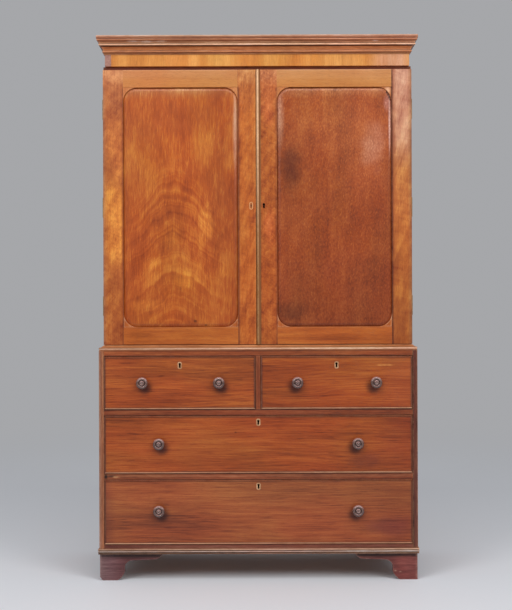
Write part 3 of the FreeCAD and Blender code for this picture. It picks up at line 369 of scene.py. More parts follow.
def wood(
    name, axis, tones, seed,
    streak=(0.6, 2.2, 80), fine=(0.5, 26, 300), ribbon=None, mottle=(0.4, 4, 8), fleck=None,
    hue=0.5, turn=0, warp=0.02, level=0.5,
    rings=None, tints=(), patches=(), border=None, planks=None,
    shine=0.34, specular=0.3, coat=0.08, coat_rough=0.18,
    wear=0.35, wear_tone=(212, 158, 116), grime=0.6, lit_top_shaded_underside=None,
):
    """A wood with its grain along one axis, in three tones from dark to light.

    Each figure, from streak to fleck, is how strongly it shows and how fast it changes along the
    grain and across it. Bands of tone and of painted light and shade are laid by place on an axis,
    patches by place on the front, the border inside a rectangle, and a painted highlight and
    painted shade on what faces up and what faces down.
    """
    shader = Shader(name)
    plain, place, apart, number = along_grain(shader, axis, seed, planks)
    wander = shader.noise(shader.scaled(place, WANDER_SCALE), 2, 0.5, "Color")
    wander = shader.scaled(wander, (0, warp, warp), (0, -warp / 2, -warp / 2))
    place = shader.vector("ADD", place, wander)
    slanted = shader.turned(place, turn) if turn else place

    def layer(spot, figure, detail, roughness=0.5, distortion=0):
        weight, along, sideways = figure
        spot = shader.scaled(spot, (along, sideways, sideways))
        return shader.noise(spot, detail, roughness, distortion=distortion), weight

    streaks, weight = layer(place, streak, 4, 0.62)
    value = pushed(shader, level, streaks, weight)
    if planks:
        apiece = shader.noise_along(shader.math("MULTIPLY_ADD", number, PLANK_TONE, seed), 1)
        value = pushed(shader, value, apiece, PLANK_WEIGHT)
    value = pushed(shader, value, *layer(place, fine, 2))
    value = pushed(shader, value, *layer(slanted, mottle, 2))
    if ribbon:
        value = pushed(shader, value, *layer(slanted, ribbon, 1.5, distortion=0.8))
    if rings:
        value = shader.math("ADD", value, ring_figure(shader, plain, **rings))
    if fleck:
        dashes, weight = layer(slanted, fleck, 1)
        value = shader.math("MULTIPLY_ADD", shader.remap(dashes, *DASHES), weight, value)
    shades = [linear(*tone) for tone in tones]
    mid = shades[1]
    stops = [(spot, against(shade, mid)) for spot, shade in zip(TONE_STOPS, shades)]
    figure = shader.ramp(value, stops)["Color"]

    colour = mid
    if tints:
        uneven = shader.cloud(TINT_CLOUD, 4, 0.6, (seed, 0, seed))
        for tint in tints:
            colour = banded(shader, colour, apart, uneven, tint)
    for index, (centre, reach, tone, amount, *ragged) in enumerate(patches):
        mask = spot_mask(shader, seed + index, centre, reach, *ragged)
        colour = shader.lay(colour, tone, mask, amount)
    if border:
        x, z, width, tone, amount = border
        colour = shader.lay(colour, tone, border_mask(shader, apart, x, z, width), amount)
    colour = shader.mix(1, colour, figure, "MULTIPLY")
    colour = shader.vector("MULTIPLY", colour, (FIGURE_ROOM, FIGURE_ROOM, FIGURE_ROOM))
    cast = shader.remap(shader.noise(shader.scaled(place, HUE_SCALE), 2), 0.3, 0.7)
    colour = shader.mix(hue, colour, shader.mix(cast, WARM_CAST, GREEN_CAST), "MULTIPLY")
    pits = shader.remap(shader.noise(shader.scaled(place, PORE_SCALE), 2, 0.6), *PORES)
    colour = shader.lay(colour, PORE_TONE, pits, PORE_AMOUNT)
    # Painted shade in hollows, darker where the surface is closed in nearby.
    hollow = shader.remap(shader.corners(HOLLOW_SHADE_REACH, False), *HOLLOWS)
    colour = shader.lay(colour, HOLLOW_SHADE_TONE, hollow, grime)
    if wear:
        rubbed = shader.remap(shader.corners(WEAR_REACH, True), *ARRISES)
        scuff = shader.remap(shader.cloud(SCUFF_CLOUD, 3, 0.7), *SCUFFS)
        colour = shader.lay(colour, wear_tone, shader.math("MULTIPLY", rubbed, scuff), wear)
    # Painted highlight on what faces up and painted shade on what faces down.
    if lit_top_shaded_underside:
        facing_up = shader.split(shader.facing)[Z]
        for (tone, amount), far in zip(lit_top_shaded_underside, (FACING_FADE, -FACING_FADE)):
            colour = shader.lay(colour, tone, shader.remap(facing_up, 0, far), amount)

    gloss = shader.cloud(GLOSS_CLOUD, 3, 0.6)
    roughness = shader.remap(gloss, 0.2, 0.8, shine - 0.06, shine + 0.12)
    roughness = shader.math("ADD", roughness, shader.math("MULTIPLY", pits, PORE_DULLNESS))
    normal = shader.bump(shader.cloud(SWAY_CLOUD, 1), SWAY_DEPTH, 0.5)
    grain = shader.math("SUBTRACT", shader.math("MULTIPLY", streaks, 0.5), pits)
    normal = shader.bump(grain, GRAIN_DEPTH, 0.6, normal)
    shader.set(Base_Color=colour, Roughness=roughness, Normal=normal)
    shader.set(Coat_Weight=coat, Coat_Roughness=coat_rough, Specular_IOR_Level=specular)
    return shader.material


# -------- brass and iron

PATINA_TONE = (52, 38, 24)
PATINA = 0.5
PATINA_REACH = 0.006
SCRATCH_SCALE = (900, 60, 900)
SCRATCH_DEPTH = 0.0001
SHADE_FADE = 0.001


def metal(
    name, bright, dull, metallic=0.85, fade=None, rough=(0.3, 0.5), specular=0.5, shade_beyond=None
):
    """Aged metal, from dull to bright over the heights of fade, with a tone of painted shade beyond
    a given x.
    """
    shader = Shader(name)
    cloud = shader.cloud(60, 4, 0.65)
    value = shader.remap(cloud, 0.3, 0.7)
    x, _, z = shader.split(shader.place)
    if fade:
        height = shader.math("MULTIPLY", shader.remap(z, fade[1], fade[0]), 0.8)
        value = shader.math("ADD", height, shader.math("MULTIPLY", value, 0.25), clamp=True)
    colour = shader.mix(value, linear(*bright), linear(*dull))
    if shade_beyond:
        end, tone = shade_beyond
        beyond = shader.remap(x, end - SHADE_FADE, end + SHADE_FADE)
        colour = shader.mix(beyond, colour, linear(*tone))
    hollow = shader.remap(shader.corners(PATINA_REACH, False), 0.9, 0.4)
    colour = shader.lay(colour, PATINA_TONE, hollow, PATINA)
    scratches = shader.noise(shader.scaled(shader.place, SCRATCH_SCALE), 2)
    shader.set(Base_Color=colour, Metallic=metallic, Specular_IOR_Level=specular)
    shader.set(Roughness=shader.remap(cloud, 0.3, 0.7, *rough))
    shader.set(Normal=shader.bump(scratches, SCRATCH_DEPTH, 0.5))
    return shader.material


BRASS = ((206, 166, 104), (140, 106, 62))
HOLE_SHADE = (8, 5, 4)

brass = metal("brass", *BRASS)
bright_brass = metal("bright_brass", (250, 198, 144), (222, 162, 106), 0.15, rough=(0.3, 0.45))
escutcheon_brass = metal(
    "escutcheon_brass", (224, 176, 132), (176, 124, 84), 0.2, rough=(0.35, 0.5)
)
# The astragal's right side, beyond x 0.0046, takes painted shade.
astragal_brass = metal(
    "astragal_brass", (232, 186, 142), (158, 108, 60), 0.3, fade=(1.15, 1.85),
    shade_beyond=(0.0046, (150, 94, 50)),
)
# The bolt takes painted shade beyond x 0.012, where it shows through the keyhole.
lock_bolt_brass = metal("lock_bolt_brass", *BRASS, shade_beyond=(0.012, HOLE_SHADE))
iron = metal("iron", (60, 52, 46), (34, 26, 22), 0.7, rough=(0.45, 0.65))
# Painted shade for the insides of keyholes and for what shows through them.
keyhole_shade = metal("keyhole_shade", HOLE_SHADE, (4, 2, 2), 0, rough=(0.85, 0.95), specular=0.05)

# -------- show woods

GOLD = ((166, 90, 24), (206, 132, 56), (232, 168, 88))
# The top rails' paler tones are partly a painted sheen.
TOP_RAIL = ((172, 98, 44), (198, 128, 68), (212, 146, 88))
LOW_RAIL = ((132, 58, 14), (178, 90, 30), (204, 118, 46))
OUTER_STILE = ((146, 62, 22), (188, 102, 42), (226, 142, 62))
INNER_STILE = ((138, 56, 18), (188, 98, 36), (216, 130, 56))
PANEL = ((134, 52, 14), (180, 86, 28), (214, 130, 50))
DARK_PANEL = ((96, 34, 12), (152, 68, 26), (184, 98, 44))
CORNICE = ((104, 46, 26), (160, 88, 46), (196, 126, 80))
RAIL = ((88, 32, 18), (138, 66, 34), (170, 96, 58))
SIDE = ((102, 46, 26), (152, 84, 52), (184, 116, 80))
# Painted shade: the right side's front edges are darker than the left's.
SHADED_SIDE = ((62, 26, 20), (106, 54, 42), (140, 84, 64))
LEFT_FOOT = ((76, 43, 46), (118, 78, 81), (146, 104, 104))
RIGHT_FOOT = ((78, 34, 31), (132, 67, 61), (162, 98, 84))
CARCASS = ((104, 58, 30), (158, 100, 56), (190, 136, 86))
PINE = ((144, 96, 56), (190, 136, 88), (214, 168, 122))
KNOT = (84, 46, 22)
LINING = ((152, 104, 60), (198, 148, 98), (222, 180, 132))
# The bands along the sides of the stiles, painted shadows beside the panels among them, end here,
# at the foot of the top rails.
RAIL_LEVEL = 1.905
KEYHOLE = (0.0247, 1.4437)
RAW = dict(coat=0, shine=0.6, wear=0.2)
# Painted light and shade on the panels by height: painted shade at the foot, a painted highlight on
# the raised top edge and a painted shadow under the top rail.
PANEL_LIGHT_AND_SHADE = up(
    (0.9751, 138, 64, 26, 0.7), (0.986, 150, 72, 30, 0.3), (1, 150, 72, 30, 0),
    (1.855, 176, 100, 48, 0), (1.872, 178, 104, 56, 0.4), (1.886, 182, 114, 66, 0.75),
    (1.8955, 196, 126, 82, 0.9), (1.8975, 186, 112, 70, 0.9), (1.8985, 126, 64, 26, 0.8),
    (1.9025, 120, 58, 22, 0.8),
)
# The same for the darker panel, which also grows darker towards the foot.
DARK_PANEL_LIGHT_AND_SHADE = up(
    (0.9751, 104, 44, 18, 0.8), (0.99, 118, 50, 22, 0.45), (1.16, 128, 54, 24, 0.3),
    (1.3, 140, 62, 28, 0), (1.855, 176, 100, 52, 0), (1.886, 182, 112, 70, 0.6),
    (1.8965, 190, 122, 82, 0.8), (1.8985, 120, 58, 26, 0.8), (1.9025, 116, 54, 22, 0.8),
)
# Painted sheen on the top rails, paler upwards, with a painted highlight on the top arris.
TOP_RAIL_SHEEN = up(
    (1.9025, 192, 114, 52, 0.6), (1.908, 200, 124, 64, 0.6), (1.912, 192, 116, 54, 0.5),
    (1.928, 198, 124, 64, 0.5), (1.942, 198, 130, 78, 0.6), (1.9655, 200, 134, 86, 0.7),
    ((1.9675, 1.97), 214, 152, 108, 0.8),
)
# The door's low rails by height: darker at the foot, and a painted highlight on the top arris below
# the panel.
LOW_RAIL_LIGHT_AND_SHADE = up(
    (0.9076, 140, 70, 30, 0.8), (0.911, 176, 90, 34, 0.4), (0.921, 186, 94, 34, 0.6),
    (0.932, 176, 88, 32, 0.2), (0.966, 176, 90, 34, 0.2), (0.9715, 180, 100, 48, 0.6),
    (0.975, 184, 104, 52, 0.7),
)
# Painted light and shade on the cornice's members by height: painted highlights on the beads and
# lit faces, painted shade on the soffits and in the quirks.
CORNICE_LIGHT_AND_SHADE = up(
    ((2.031, 2.0352), 176, 112, 66, 0.6), ((2.0358, 2.0382), 130, 70, 36, 0.7),
    ((2.0392, 2.0425), 196, 124, 78, 0.7), ((2.0432, 2.0455), 222, 152, 108, 0.8),
    (2.047, 200, 118, 62, 0.8), (2.0575, 192, 110, 56, 0.8), (2.059, 120, 60, 24, 0.8),
    ((2.0598, 2.0626), 66, 22, 6, 0.95), ((2.0632, 2.07), 244, 190, 152, 0.9),
    (2.071, 198, 138, 98, 0.8), (2.077, 190, 130, 92, 0.8), (2.078, 144, 80, 46, 0.8),
    (2.0826, 152, 86, 50, 0.8), ((2.0832, 2.086), 192, 126, 90, 0.8), (2.0866, 112, 58, 34, 0.8),
    (2.089, 136, 78, 50, 0.8), (2.0945, 150, 94, 66, 0.8), ((2.096, 2.1), 206, 162, 136, 0.8),
)
# Painted light and shade on the waist moulding by height: a painted highlight on its bead, painted
# shade just above it and painted light on the slope above that.
WAIST_LIGHT_AND_SHADE = up(
    ((0.8862, 0.8896), 176, 112, 72, 0.8), ((0.8901, 0.8938), 255, 206, 170, 1),
    (0.8945, 150, 94, 56, 0.7), (0.8967, 180, 116, 74, 0.8), (0.9052, 202, 130, 82, 0.8),
)
# Painted light and shade on the base moulding by height: painted highlights on its reeds and
# painted shade in the grooves.
BASE_LIGHT_AND_SHADE = up(
    ((0.101, 0.105), 104, 70, 54, 0.8), (0.1055, 58, 28, 18, 0.95), (0.1088, 48, 22, 14, 0.95),
    ((0.1094, 0.1126), 206, 172, 158, 0.95), ((0.1134, 0.1164), 92, 56, 38, 0.9),
    (0.117, 220, 172, 146, 0.95), (0.1202, 216, 168, 142, 0.95), ((0.121, 0.123), 146, 92, 64, 0.8),
)
# Tone of the painted shadow lines in the gaps under the drawers.
SHADOW_LINE = (74, 24, 10)
# The case rails' fronts by height, one list for each rail from the bottom: tone, painted light and
# shade, and painted shadow lines along the gaps at the drawers.
RAIL_LIGHT_AND_SHADE = [
    up(
        (0.123, 124, 74, 60, 0.75), (0.135, 116, 62, 48, 0.75), ((0.136, 0.1392), *SHADOW_LINE, 0.95),
        (0.14, *SHADOW_LINE, 0),
    ),
    up(
        (0.387, 120, 60, 36, 0), (0.389, 116, 56, 34, 0.6), (0.396, 136, 70, 40, 0.3),
        (0.3985, 156, 92, 60, 0.7), (0.405, 156, 90, 58, 0.7), (0.4078, 110, 54, 28, 0.6),
        ((0.4088, 0.4119), *SHADOW_LINE, 0.85), (0.4128, *SHADOW_LINE, 0),
    ),
    up(
        (0.634, 104, 44, 22, 0), (0.635, 104, 44, 22, 0.6), (0.6385, 110, 50, 28, 0.5),
        (0.64, 134, 66, 36, 0.2), (0.653, 126, 56, 28, 0.3), ((0.6552, 0.6588), *SHADOW_LINE, 0.95),
        (0.6598, *SHADOW_LINE, 0),
    ),
    up(
        (0.863, 92, 36, 16, 0), (0.8637, 92, 36, 16, 0.75), (0.8662, 100, 40, 18, 0.75),
        (0.869, 154, 76, 36, 0.8), (0.879, 158, 80, 38, 0.8), (0.8836, 112, 52, 22, 0.7),
        (0.8862, 104, 46, 18, 0.8),
    ),
]


def front_and_side(name, tones, seed, **settings):
    """A wood for a front length, and the same for the lengths at the sides."""
    front = wood(name, "x", tones, seed, **settings)
    return front, wood(f"{name}_side", "y", tones, seed + 0.5, **settings)


def boards(name, seed, width, start, knots):
    """Upright pine boards of one width, with knots given by place and size."""
    return wood(
        name, "z", PINE, seed, coat=0, shine=0.7, planks=(width, start),
        streak=(0.8, 2.2, 80), mottle=(0.4, 3, 20),
        patches=[((x, z), (size, size * 1.3), KNOT, 0.85, 30) for x, z, size in knots],
    )


left_panel = wood(
    "left_panel", "z", PANEL, 2, streak=(0.3, 2.5, 60), fine=(0.4, 24, 220), mottle=(0.6, 7, 16),
    warp=0.03, fleck=(0.1, 34, 240), turn=-0.12,
    tints=[
        PANEL_LIGHT_AND_SHADE,
        across(
            (-0.519, 180, 86, 28, 0), (-0.23, 176, 84, 28, 0), (-0.15, 162, 74, 26, 0.5),
            (-0.076, 158, 70, 24, 0.5),
        ),
    ],
    rings=dict(
        centre=(1.25, -0.322), slope=1.15, lean=1.6, width=0.05, density=22, weight=0.7, warp=0.06,
        reach=(0.45, 0.22),
    ),
    patches=(
        ((-0.285, 1.158), (0.06, 0.05), (224, 132, 46), 0.7, 14),
        ((-0.4, 1.22), (0.055, 0.04), (214, 122, 46), 0.55, 14),
        ((-0.195, 1.375), (0.036, 0.1), (218, 128, 50), 0.65, 16),
        ((-0.33, 1.31), (0.045, 0.06), (206, 114, 42), 0.5, 14),
        ((-0.42, 1.06), (0.1, 0.03), (210, 116, 42), 0.45, 12),
        # Painted highlight along the panel's raised right edge.
        ((-0.085, 1.74), (0.014, 0.2), (196, 128, 96), 0.7),
        ((-0.243, 0.998), (0.01, 0.008), (70, 26, 10), 0.8, 60),
        ((-0.201, 0.982), (0.008, 0.006), (70, 26, 10), 0.7, 60),
    ),
)
right_panel = wood(
    "right_panel", "z", DARK_PANEL, 5, streak=(0.25, 4, 50), fine=(0.5, 100, 190),
    mottle=(0.45, 8, 13), fleck=(0.12, 90, 220), turn=-0.35, tints=[DARK_PANEL_LIGHT_AND_SHADE],
    patches=(
        ((0.128, 1.575), (0.06, 0.13), (94, 36, 15), 0.75, 12),
        ((0.12, 1.03), (0.09, 0.06), (84, 34, 14), 0.5, 14),
        ((0.4, 1.7), (0.2, 0.28), (180, 92, 47), 0.5, 5),
        # Painted reflection: a pale glare on the polish.
        ((0.448, 1.668), (0.08, 0.11), (200, 136, 106), 0.45, 11),
        ((0.24, 1.8), (0.14, 0.16), (186, 102, 48), 0.3, 6),
        # Painted highlights along the panel's raised edges, at its left, at its right and near its
        # top right corner.
        ((0.088, 1.78), (0.022, 0.15), (190, 126, 94), 0.7),
        ((0.5125, 1.77), (0.006, 0.17), (232, 176, 156), 0.9),
        ((0.502, 1.84), (0.018, 0.042), (204, 138, 122), 0.5),
        ((0.5022, 1.8812), (0.006, 0.0085), (48, 16, 8), 0.95),
        ((0.5072, 1.8725), (0.006, 0.009), (48, 16, 8), 0.95),
        ((0.5115, 1.863), (0.0055, 0.01), (48, 16, 8), 0.95),
        ((0.5145, 1.854), (0.0045, 0.0095), (48, 16, 8), 0.9),
    ),
)
frieze = wood(
    "frieze", "z", GOLD, 7, streak=(0.35, 2, 60), mottle=(0.8, 2, 12), fine=(0.3, 26, 300),
    wear=0.1,
    patches=(
        ((0.53, 2), (0.1, 0.2), (200, 142, 104), 0.8, 5),
        ((0.34, 2), (0.12, 0.2), (224, 162, 86), 0.8, 5),
    ),
)
frieze_side = wood("frieze_side", "y", ((112, 56, 26), (164, 96, 50), (196, 130, 78)), 7.2)
frieze_end = wood("frieze_end", "y", ((130, 86, 78), (164, 122, 108), (190, 150, 134)), 7.5, wear=0)
CORNICE_LOOK = dict(streak=(0.4, 2.2, 80), mottle=(0.3, 4, 8), wear=0.3, tints=[CORNICE_LIGHT_AND_SHADE])
cornice = wood(
    "cornice", "x", CORNICE, 8, **CORNICE_LOOK,
    patches=(
        ((-0.478, 2.077), (0.028, 0.004), (228, 190, 168), 0.75, 190),
        ((-0.425, 2.0758), (0.032, 0.0042), (230, 192, 168), 0.9, 230),
        ((-0.368, 2.0765), (0.03, 0.0036), (226, 184, 158), 0.8, 210),
        ((0.455, 2.077), (0.014, 0.0034), (218, 176, 150), 0.6, 160),
    ),
)
cornice_side = wood("cornice_side", "y", CORNICE, 8.5, **CORNICE_LOOK)
top_rails = [
    wood(
        f"top_rail_{n}", "x", TOP_RAIL, 9 + n, streak=(0.35, 1.4, 60), fine=(0.3, 26, 300), wear=0,
        grime=0.4, tints=[TOP_RAIL_SHEEN],
    )
    for n in range(2)
]
low_rails = [
    wood(
        f"low_rail_{n}", "x", LOW_RAIL, 11.5 + n, streak=(0.9, 1.6, 38), fine=(0.35, 26, 300),
        mottle=(0.6, 4, 8), warp=0.06, wear=0, grime=0.4, level=0.56 - 0.05 * n,
        tints=[LOW_RAIL_LIGHT_AND_SHADE],
    )
    for n in range(2)
]
corner_wood = wood(
    "corner_wood", "z", ((140, 70, 30), (188, 104, 50), (212, 140, 84)), 13, wear=0.1, grime=0.4,
    tints=[
        up(((0.95, 1.04), 178, 90, 34, 0.8), (1.84, 194, 118, 64, 0.8), (1.91, 198, 122, 68, 0.8)),
    ],
    patches=(
        ((0.506, 1.89), (0.016, 0.022), (232, 176, 132), 0.85),
        ((0.4975, 1.885), (0.006, 0.008), (60, 20, 10), 0.9),
    ),
)
# The lower spandrels' pale arrises are partly wear and partly a painted highlight.
low_corner_wood = wood(
    "low_corner_wood", "z", ((140, 66, 26), (180, 94, 38), (206, 130, 66)), 13.5, wear=0.4,
    wear_tone=(226, 184, 150), grime=0.4,
)
left_outer = wood(
    "left_outer", "z", OUTER_STILE, 14, streak=(0.3, 2.2, 80), fine=(0.25, 26, 300),
    ribbon=(0.35, 60, 24), mottle=(0.75, 12, 26), turn=-0.5, wear=0.1, fleck=(-0.1, 60, 190),
    tints=[
        # Tone along the stile, with a painted sheen at the top, level with the top rail.
        up(
            (0.9076, 156, 78, 34, 0.6), (1.18, 164, 84, 36, 0.6), (1.27, 222, 136, 56, 0.8),
            (1.5, 220, 134, 54, 0.8), (1.58, 188, 104, 48, 0.3), (1.76, 184, 104, 52, 0.4),
            (1.84, 176, 102, 56, 0.8), (1.91, 174, 102, 58, 0.85), (1.94, 190, 120, 76, 0.9),
            (1.97, 194, 126, 84, 0.9),
        ),
        # A painted highlight on the outer edge and a painted shadow beside the panel.
        across(
            (-0.5945, 156, 98, 66, 0.8), (-0.588, 170, 98, 54, 0.6), (-0.58, 178, 100, 46, 0.4),
            (-0.568, 186, 104, 42, 0), (-0.5275, 150, 70, 26, 0), (-0.5235, 140, 62, 22, 0.7),
            (-0.519, 112, 44, 12, 0.85), top=RAIL_LEVEL,
        ),
    ],
)
left_inner = wood(
    "left_inner", "z", INNER_STILE, 15, streak=(0.3, 2.2, 80), fine=(0.25, 26, 300),
    ribbon=(0.3, 70, 26), mottle=(0.8, 13, 44), turn=-0.3, wear=0.1, fleck=(0.1, 60, 200),
    patches=(
        # Painted shade of the keyhole within the escutcheon, fading out round it.
        ((-KEYHOLE[0], KEYHOLE[1]), (0.0075, 0.016), (126, 62, 26), 0.6),
        ((-KEYHOLE[0], KEYHOLE[1]), (0.0034, 0.01), (40, 14, 6), 0.95),
    ),
    tints=[
        # Tone along the stile, with a painted sheen at the top, level with the top rail.
        up(
            (0.9076, 170, 84, 30, 0.4), (1.25, 180, 90, 32, 0.2), (1.78, 190, 100, 40, 0.3),
            (1.905, 192, 110, 54, 0.7), (1.935, 200, 126, 70, 0.9), (1.97, 204, 134, 80, 0.9),
        ),
        # A painted shadow beside the panel, and paler near the meeting edge.
        across(
            (-0.076, 104, 46, 20, 0.9), (-0.0722, 116, 50, 22, 0.85), (-0.069, 150, 76, 34, 0.6),
            (-0.065, 172, 88, 34, 0), (-0.018, 190, 104, 40, 0),
            ((-0.0105, -0.0075), 196, 112, 48, 0.5), top=RAIL_LEVEL,
        ),
    ],
)
right_inner = wood(
    "right_inner", "z", INNER_STILE, 16, streak=(0.25, 2.2, 80), fine=(0.25, 26, 300),
    ribbon=(0.5, 84, 34), mottle=(0.75, 12, 36), turn=-0.55, fleck=(0.12, 70, 160), level=0.47,
    wear=0.1,
    patches=(
        ((0.045, 1.36), (0.03, 0.11), (206, 96, 46), 0.5, 14),
        ((0.045, 1.8), (0.03, 0.08), (204, 98, 50), 0.4, 14),
    ),
    tints=[
        # Tone along the stile, with a painted sheen at the top, level with the top rail.
        up(
            (0.9076, 160, 76, 28, 0.4), (1.25, 166, 74, 26, 0.5), (1.6, 168, 78, 30, 0.5),
            (1.78, 176, 88, 38, 0.5), (1.905, 182, 100, 54, 0.7), (1.94, 194, 122, 74, 0.9),
            (1.97, 200, 130, 82, 0.9),
        ),
        # Painted shade of the astragal's side at the meeting edge, and a painted shadow beside the
        # panel.
        across(
            (0.008, 142, 96, 48, 0.85), (0.0125, 142, 92, 46, 0.8), (0.015, 160, 78, 32, 0.5),
            (0.024, 170, 84, 32, 0), (0.0665, 150, 72, 30, 0), (0.0715, 144, 70, 30, 0.6),
            (0.076, 130, 60, 24, 0.8), top=RAIL_LEVEL,
        ),
    ],
)
right_outer = wood(
    "right_outer", "z", OUTER_STILE, 17, streak=(0.3, 2.2, 80), fine=(0.3, 26, 300),
    ribbon=(0.3, 48, 14), mottle=(0.5, 10, 24), turn=-0.3, wear=0.1, fleck=(-0.06, 34, 210),
    rings=dict(centre=(1.45, 0.6), slope=3, width=0.02, density=12, weight=0.5, reach=(0.5, 0.2)),
    tints=[
        # Tone along the stile, with a painted reflection, pale and pinkish, on its upper part.
        up(
            (0.9076, 158, 78, 32, 0.6), (1.22, 166, 84, 34, 0.6), (1.36, 190, 108, 50, 0.4),
            (1.58, 198, 122, 68, 0.6), (1.7, 208, 146, 114, 0.85), (1.97, 212, 152, 126, 0.95),
        ),
        # A painted shadow beside the panel, and greyer at the outer edge.
        across(
            (0.519, 78, 24, 6, 0.95), (0.5222, 84, 26, 8, 0.95), (0.5252, 136, 62, 28, 0.7),
            (0.53, 160, 80, 36, 0.4), (0.54, 170, 86, 38, 0), (0.58, 170, 98, 50, 0),
            (0.588, 160, 98, 56, 0.5), (0.5945, 136, 86, 58, 0.8),
        ),
    ],
)
case_rail = wood(
    "case_rail", "x", RAIL, 18, wear=0.1, tints=RAIL_LIGHT_AND_SHADE,
    patches=(
        ((-0.566, 0.4025), (0.03, 0.005), (52, 16, 6), 0.9),
        ((-0.5487, 0.3978), (0.02, 0.0045), (222, 156, 104), 0.9, 60),
        ((-0.588, 0.4), (0.01, 0.015), (16, 5, 3), 0.98),
    ),
)
divider = wood("divider", "z", RAIL, 19, wear=0.15)
waist, waist_side = front_and_side(
    "waist", ((120, 64, 36), (176, 112, 74), (206, 150, 112)), 20, wear=0.2, tints=[WAIST_LIGHT_AND_SHADE],
)
base, base_side = front_and_side(
    "base", ((100, 54, 34), (160, 104, 76), (196, 144, 114)), 21, wear=0.2, grime=0.5,
    tints=[BASE_LIGHT_AND_SHADE],
)
case_side = wood("case_side", "z", SIDE, 21.7, mottle=(0.7, 2.5, 9), ribbon=(0.2, 30, 10))
# The left side's front edges, with a painted shadow line at the gap beside the doors and drawers.
left_edge = wood(
    "left_edge", "z", SIDE, 22,
    tints=[
        across(
            (-0.6125, 152, 112, 96, 0.8), (-0.608, 154, 104, 80, 0.8), (-0.602, 162, 98, 66, 0.7),
            (-0.5965, 160, 96, 60, 0.7), ((-0.5955, -0.59), 96, 42, 22, 0.9),
        ),
    ],
)
# The right side's front edges, in painted shade, with a painted shadow line at the gap beside the
# doors and drawers.
shaded_right_edge = wood(
    "shaded_right_edge", "z", SHADED_SIDE, 23,
    tints=[
        across(
            (0.5935, 52, 16, 6, 0.95), (0.5968, 60, 22, 10, 0.9), (0.6012, 100, 48, 32, 0.4),
            (0.6125, 112, 64, 46, 0.4),
        ),
    ],
)
# Painted shadow across the tops of the feet, under the base moulding.
FOOT_TOP_SHADOW = up(
    (0.08, 60, 34, 32, 0), (0.088, 52, 28, 26, 0.4), (0.0915, 28, 14, 12, 0.85),
    (0.101, 24, 12, 10, 0.95),
)
left_foot = wood(
    "left_foot", "x", LEFT_FOOT, 24, coat=0.05, shine=0.45, wear=0.3, wear_tone=(170, 134, 128),
    tints=[
        across(
            (-0.6035, 130, 97, 98, 0.8), (-0.575, 126, 88, 91, 0.6), (-0.535, 104, 58, 60, 0.7),
            (-0.505, 84, 40, 38, 0.8), (-0.45, 82, 44, 42, 0.8), (-0.36, 98, 56, 50, 0.8),
        ),
        FOOT_TOP_SHADOW,
    ],
)
right_foot = wood(
    "right_foot", "x", RIGHT_FOOT, 25, coat=0.05, shine=0.42, wear=0.35, wear_tone=(196, 150, 136),
    tints=[
        across(
            (0.36, 102, 58, 50, 0.8), (0.45, 90, 46, 42, 0.8), (0.505, 92, 42, 40, 0.8),
            (0.55, 136, 65, 60, 0.7), (0.6035, 140, 73, 68, 0.7),
        ),
        FOOT_TOP_SHADOW,
    ],
    patches=(
        ((0.527, 0.034), (0.008, 0.004), (196, 150, 128), 0.8, 90),
        ((0.546, 0.03), (0.007, 0.004), (196, 150, 128), 0.8, 90),
    ),
)
rear_foot = wood("rear_foot", "x", ((92, 50, 32), (132, 82, 56), (162, 114, 84)), 26.5, **RAW)
side_foot = wood(
    "side_foot", "y", RIGHT_FOOT, 26, coat=0.05, shine=0.45, wear=0.4, wear_tone=(176, 128, 110),
    tints=[FOOT_TOP_SHADOW],
)
carcass_x, carcass_y, carcass_z = (
    wood(f"carcass_{axis}", axis, CARCASS, 27 + n, **RAW)
    for n, axis in enumerate("xyz")
)
upper_pine = boards(
    "upper_pine", 30, 0.196, -0.588,
    (
        (-0.49, 1.21, 0.013), (-0.46, 1.77, 0.01), (-0.27, 1.48, 0.015), (-0.11, 1.1, 0.011),
        (0.08, 1.66, 0.014), (0.31, 1.3, 0.012), (0.33, 1.88, 0.01), (0.51, 1.52, 0.013),
    ),
)
lower_pine = boards(
    "lower_pine", 30.5, 0.20133, -0.604,
    (
        (-0.51, 0.46, 0.012), (-0.3, 0.71, 0.01), (-0.09, 0.33, 0.014), (0.12, 0.6, 0.011),
        (0.48, 0.4, 0.013),
    ),
)
pine = wood("pine", "x", PINE, 31, coat=0, shine=0.7)
lining_x, lining_y = (
    wood(f"lining_{axis}", axis, LINING, 32 + n, coat=0, shine=0.62, wear=0.2)
    for n, axis in enumerate("xy")
)
tray_wood = wood("tray_wood", "x", ((110, 50, 22), (160, 86, 42), (190, 120, 66)), 34)
bead_top = wood(
    "bead_top", "x", ((88, 34, 16), (138, 66, 34), (170, 96, 58)), 35, wear=0.1, grime=0.35,
)
# The bottom cockbeads are paler, partly from wear and partly as a painted highlight.
worn_and_lit_low_bead = wood(
    "worn_and_lit_low_bead", "x", ((134, 84, 56), (196, 140, 106), (222, 172, 138)), 35.5, wear=0.1, grime=0.3,
)
# The side cockbeads are darker, as painted shade in the gap beside them.
shaded_side_bead = wood(
    "shaded_side_bead", "z", ((78, 34, 24), (116, 62, 46), (150, 92, 72)), 36, wear=0.1, grime=0.7,
)
knob_wood = wood(
    "knob_wood", "y", ((44, 24, 18), (80, 48, 38), (116, 78, 64)), 37, shine=0.2, specular=0.6,
    coat=1, coat_rough=0.1, wear=0.6, wear_tone=(206, 160, 142), grime=0.9, hue=0.3,
    # Painted highlight on the knobs' tops and painted shade under them.
    lit_top_shaded_underside=(((198, 146, 138), 0.6), ((34, 18, 16), 0.6)),
)

# -------- which piece has which

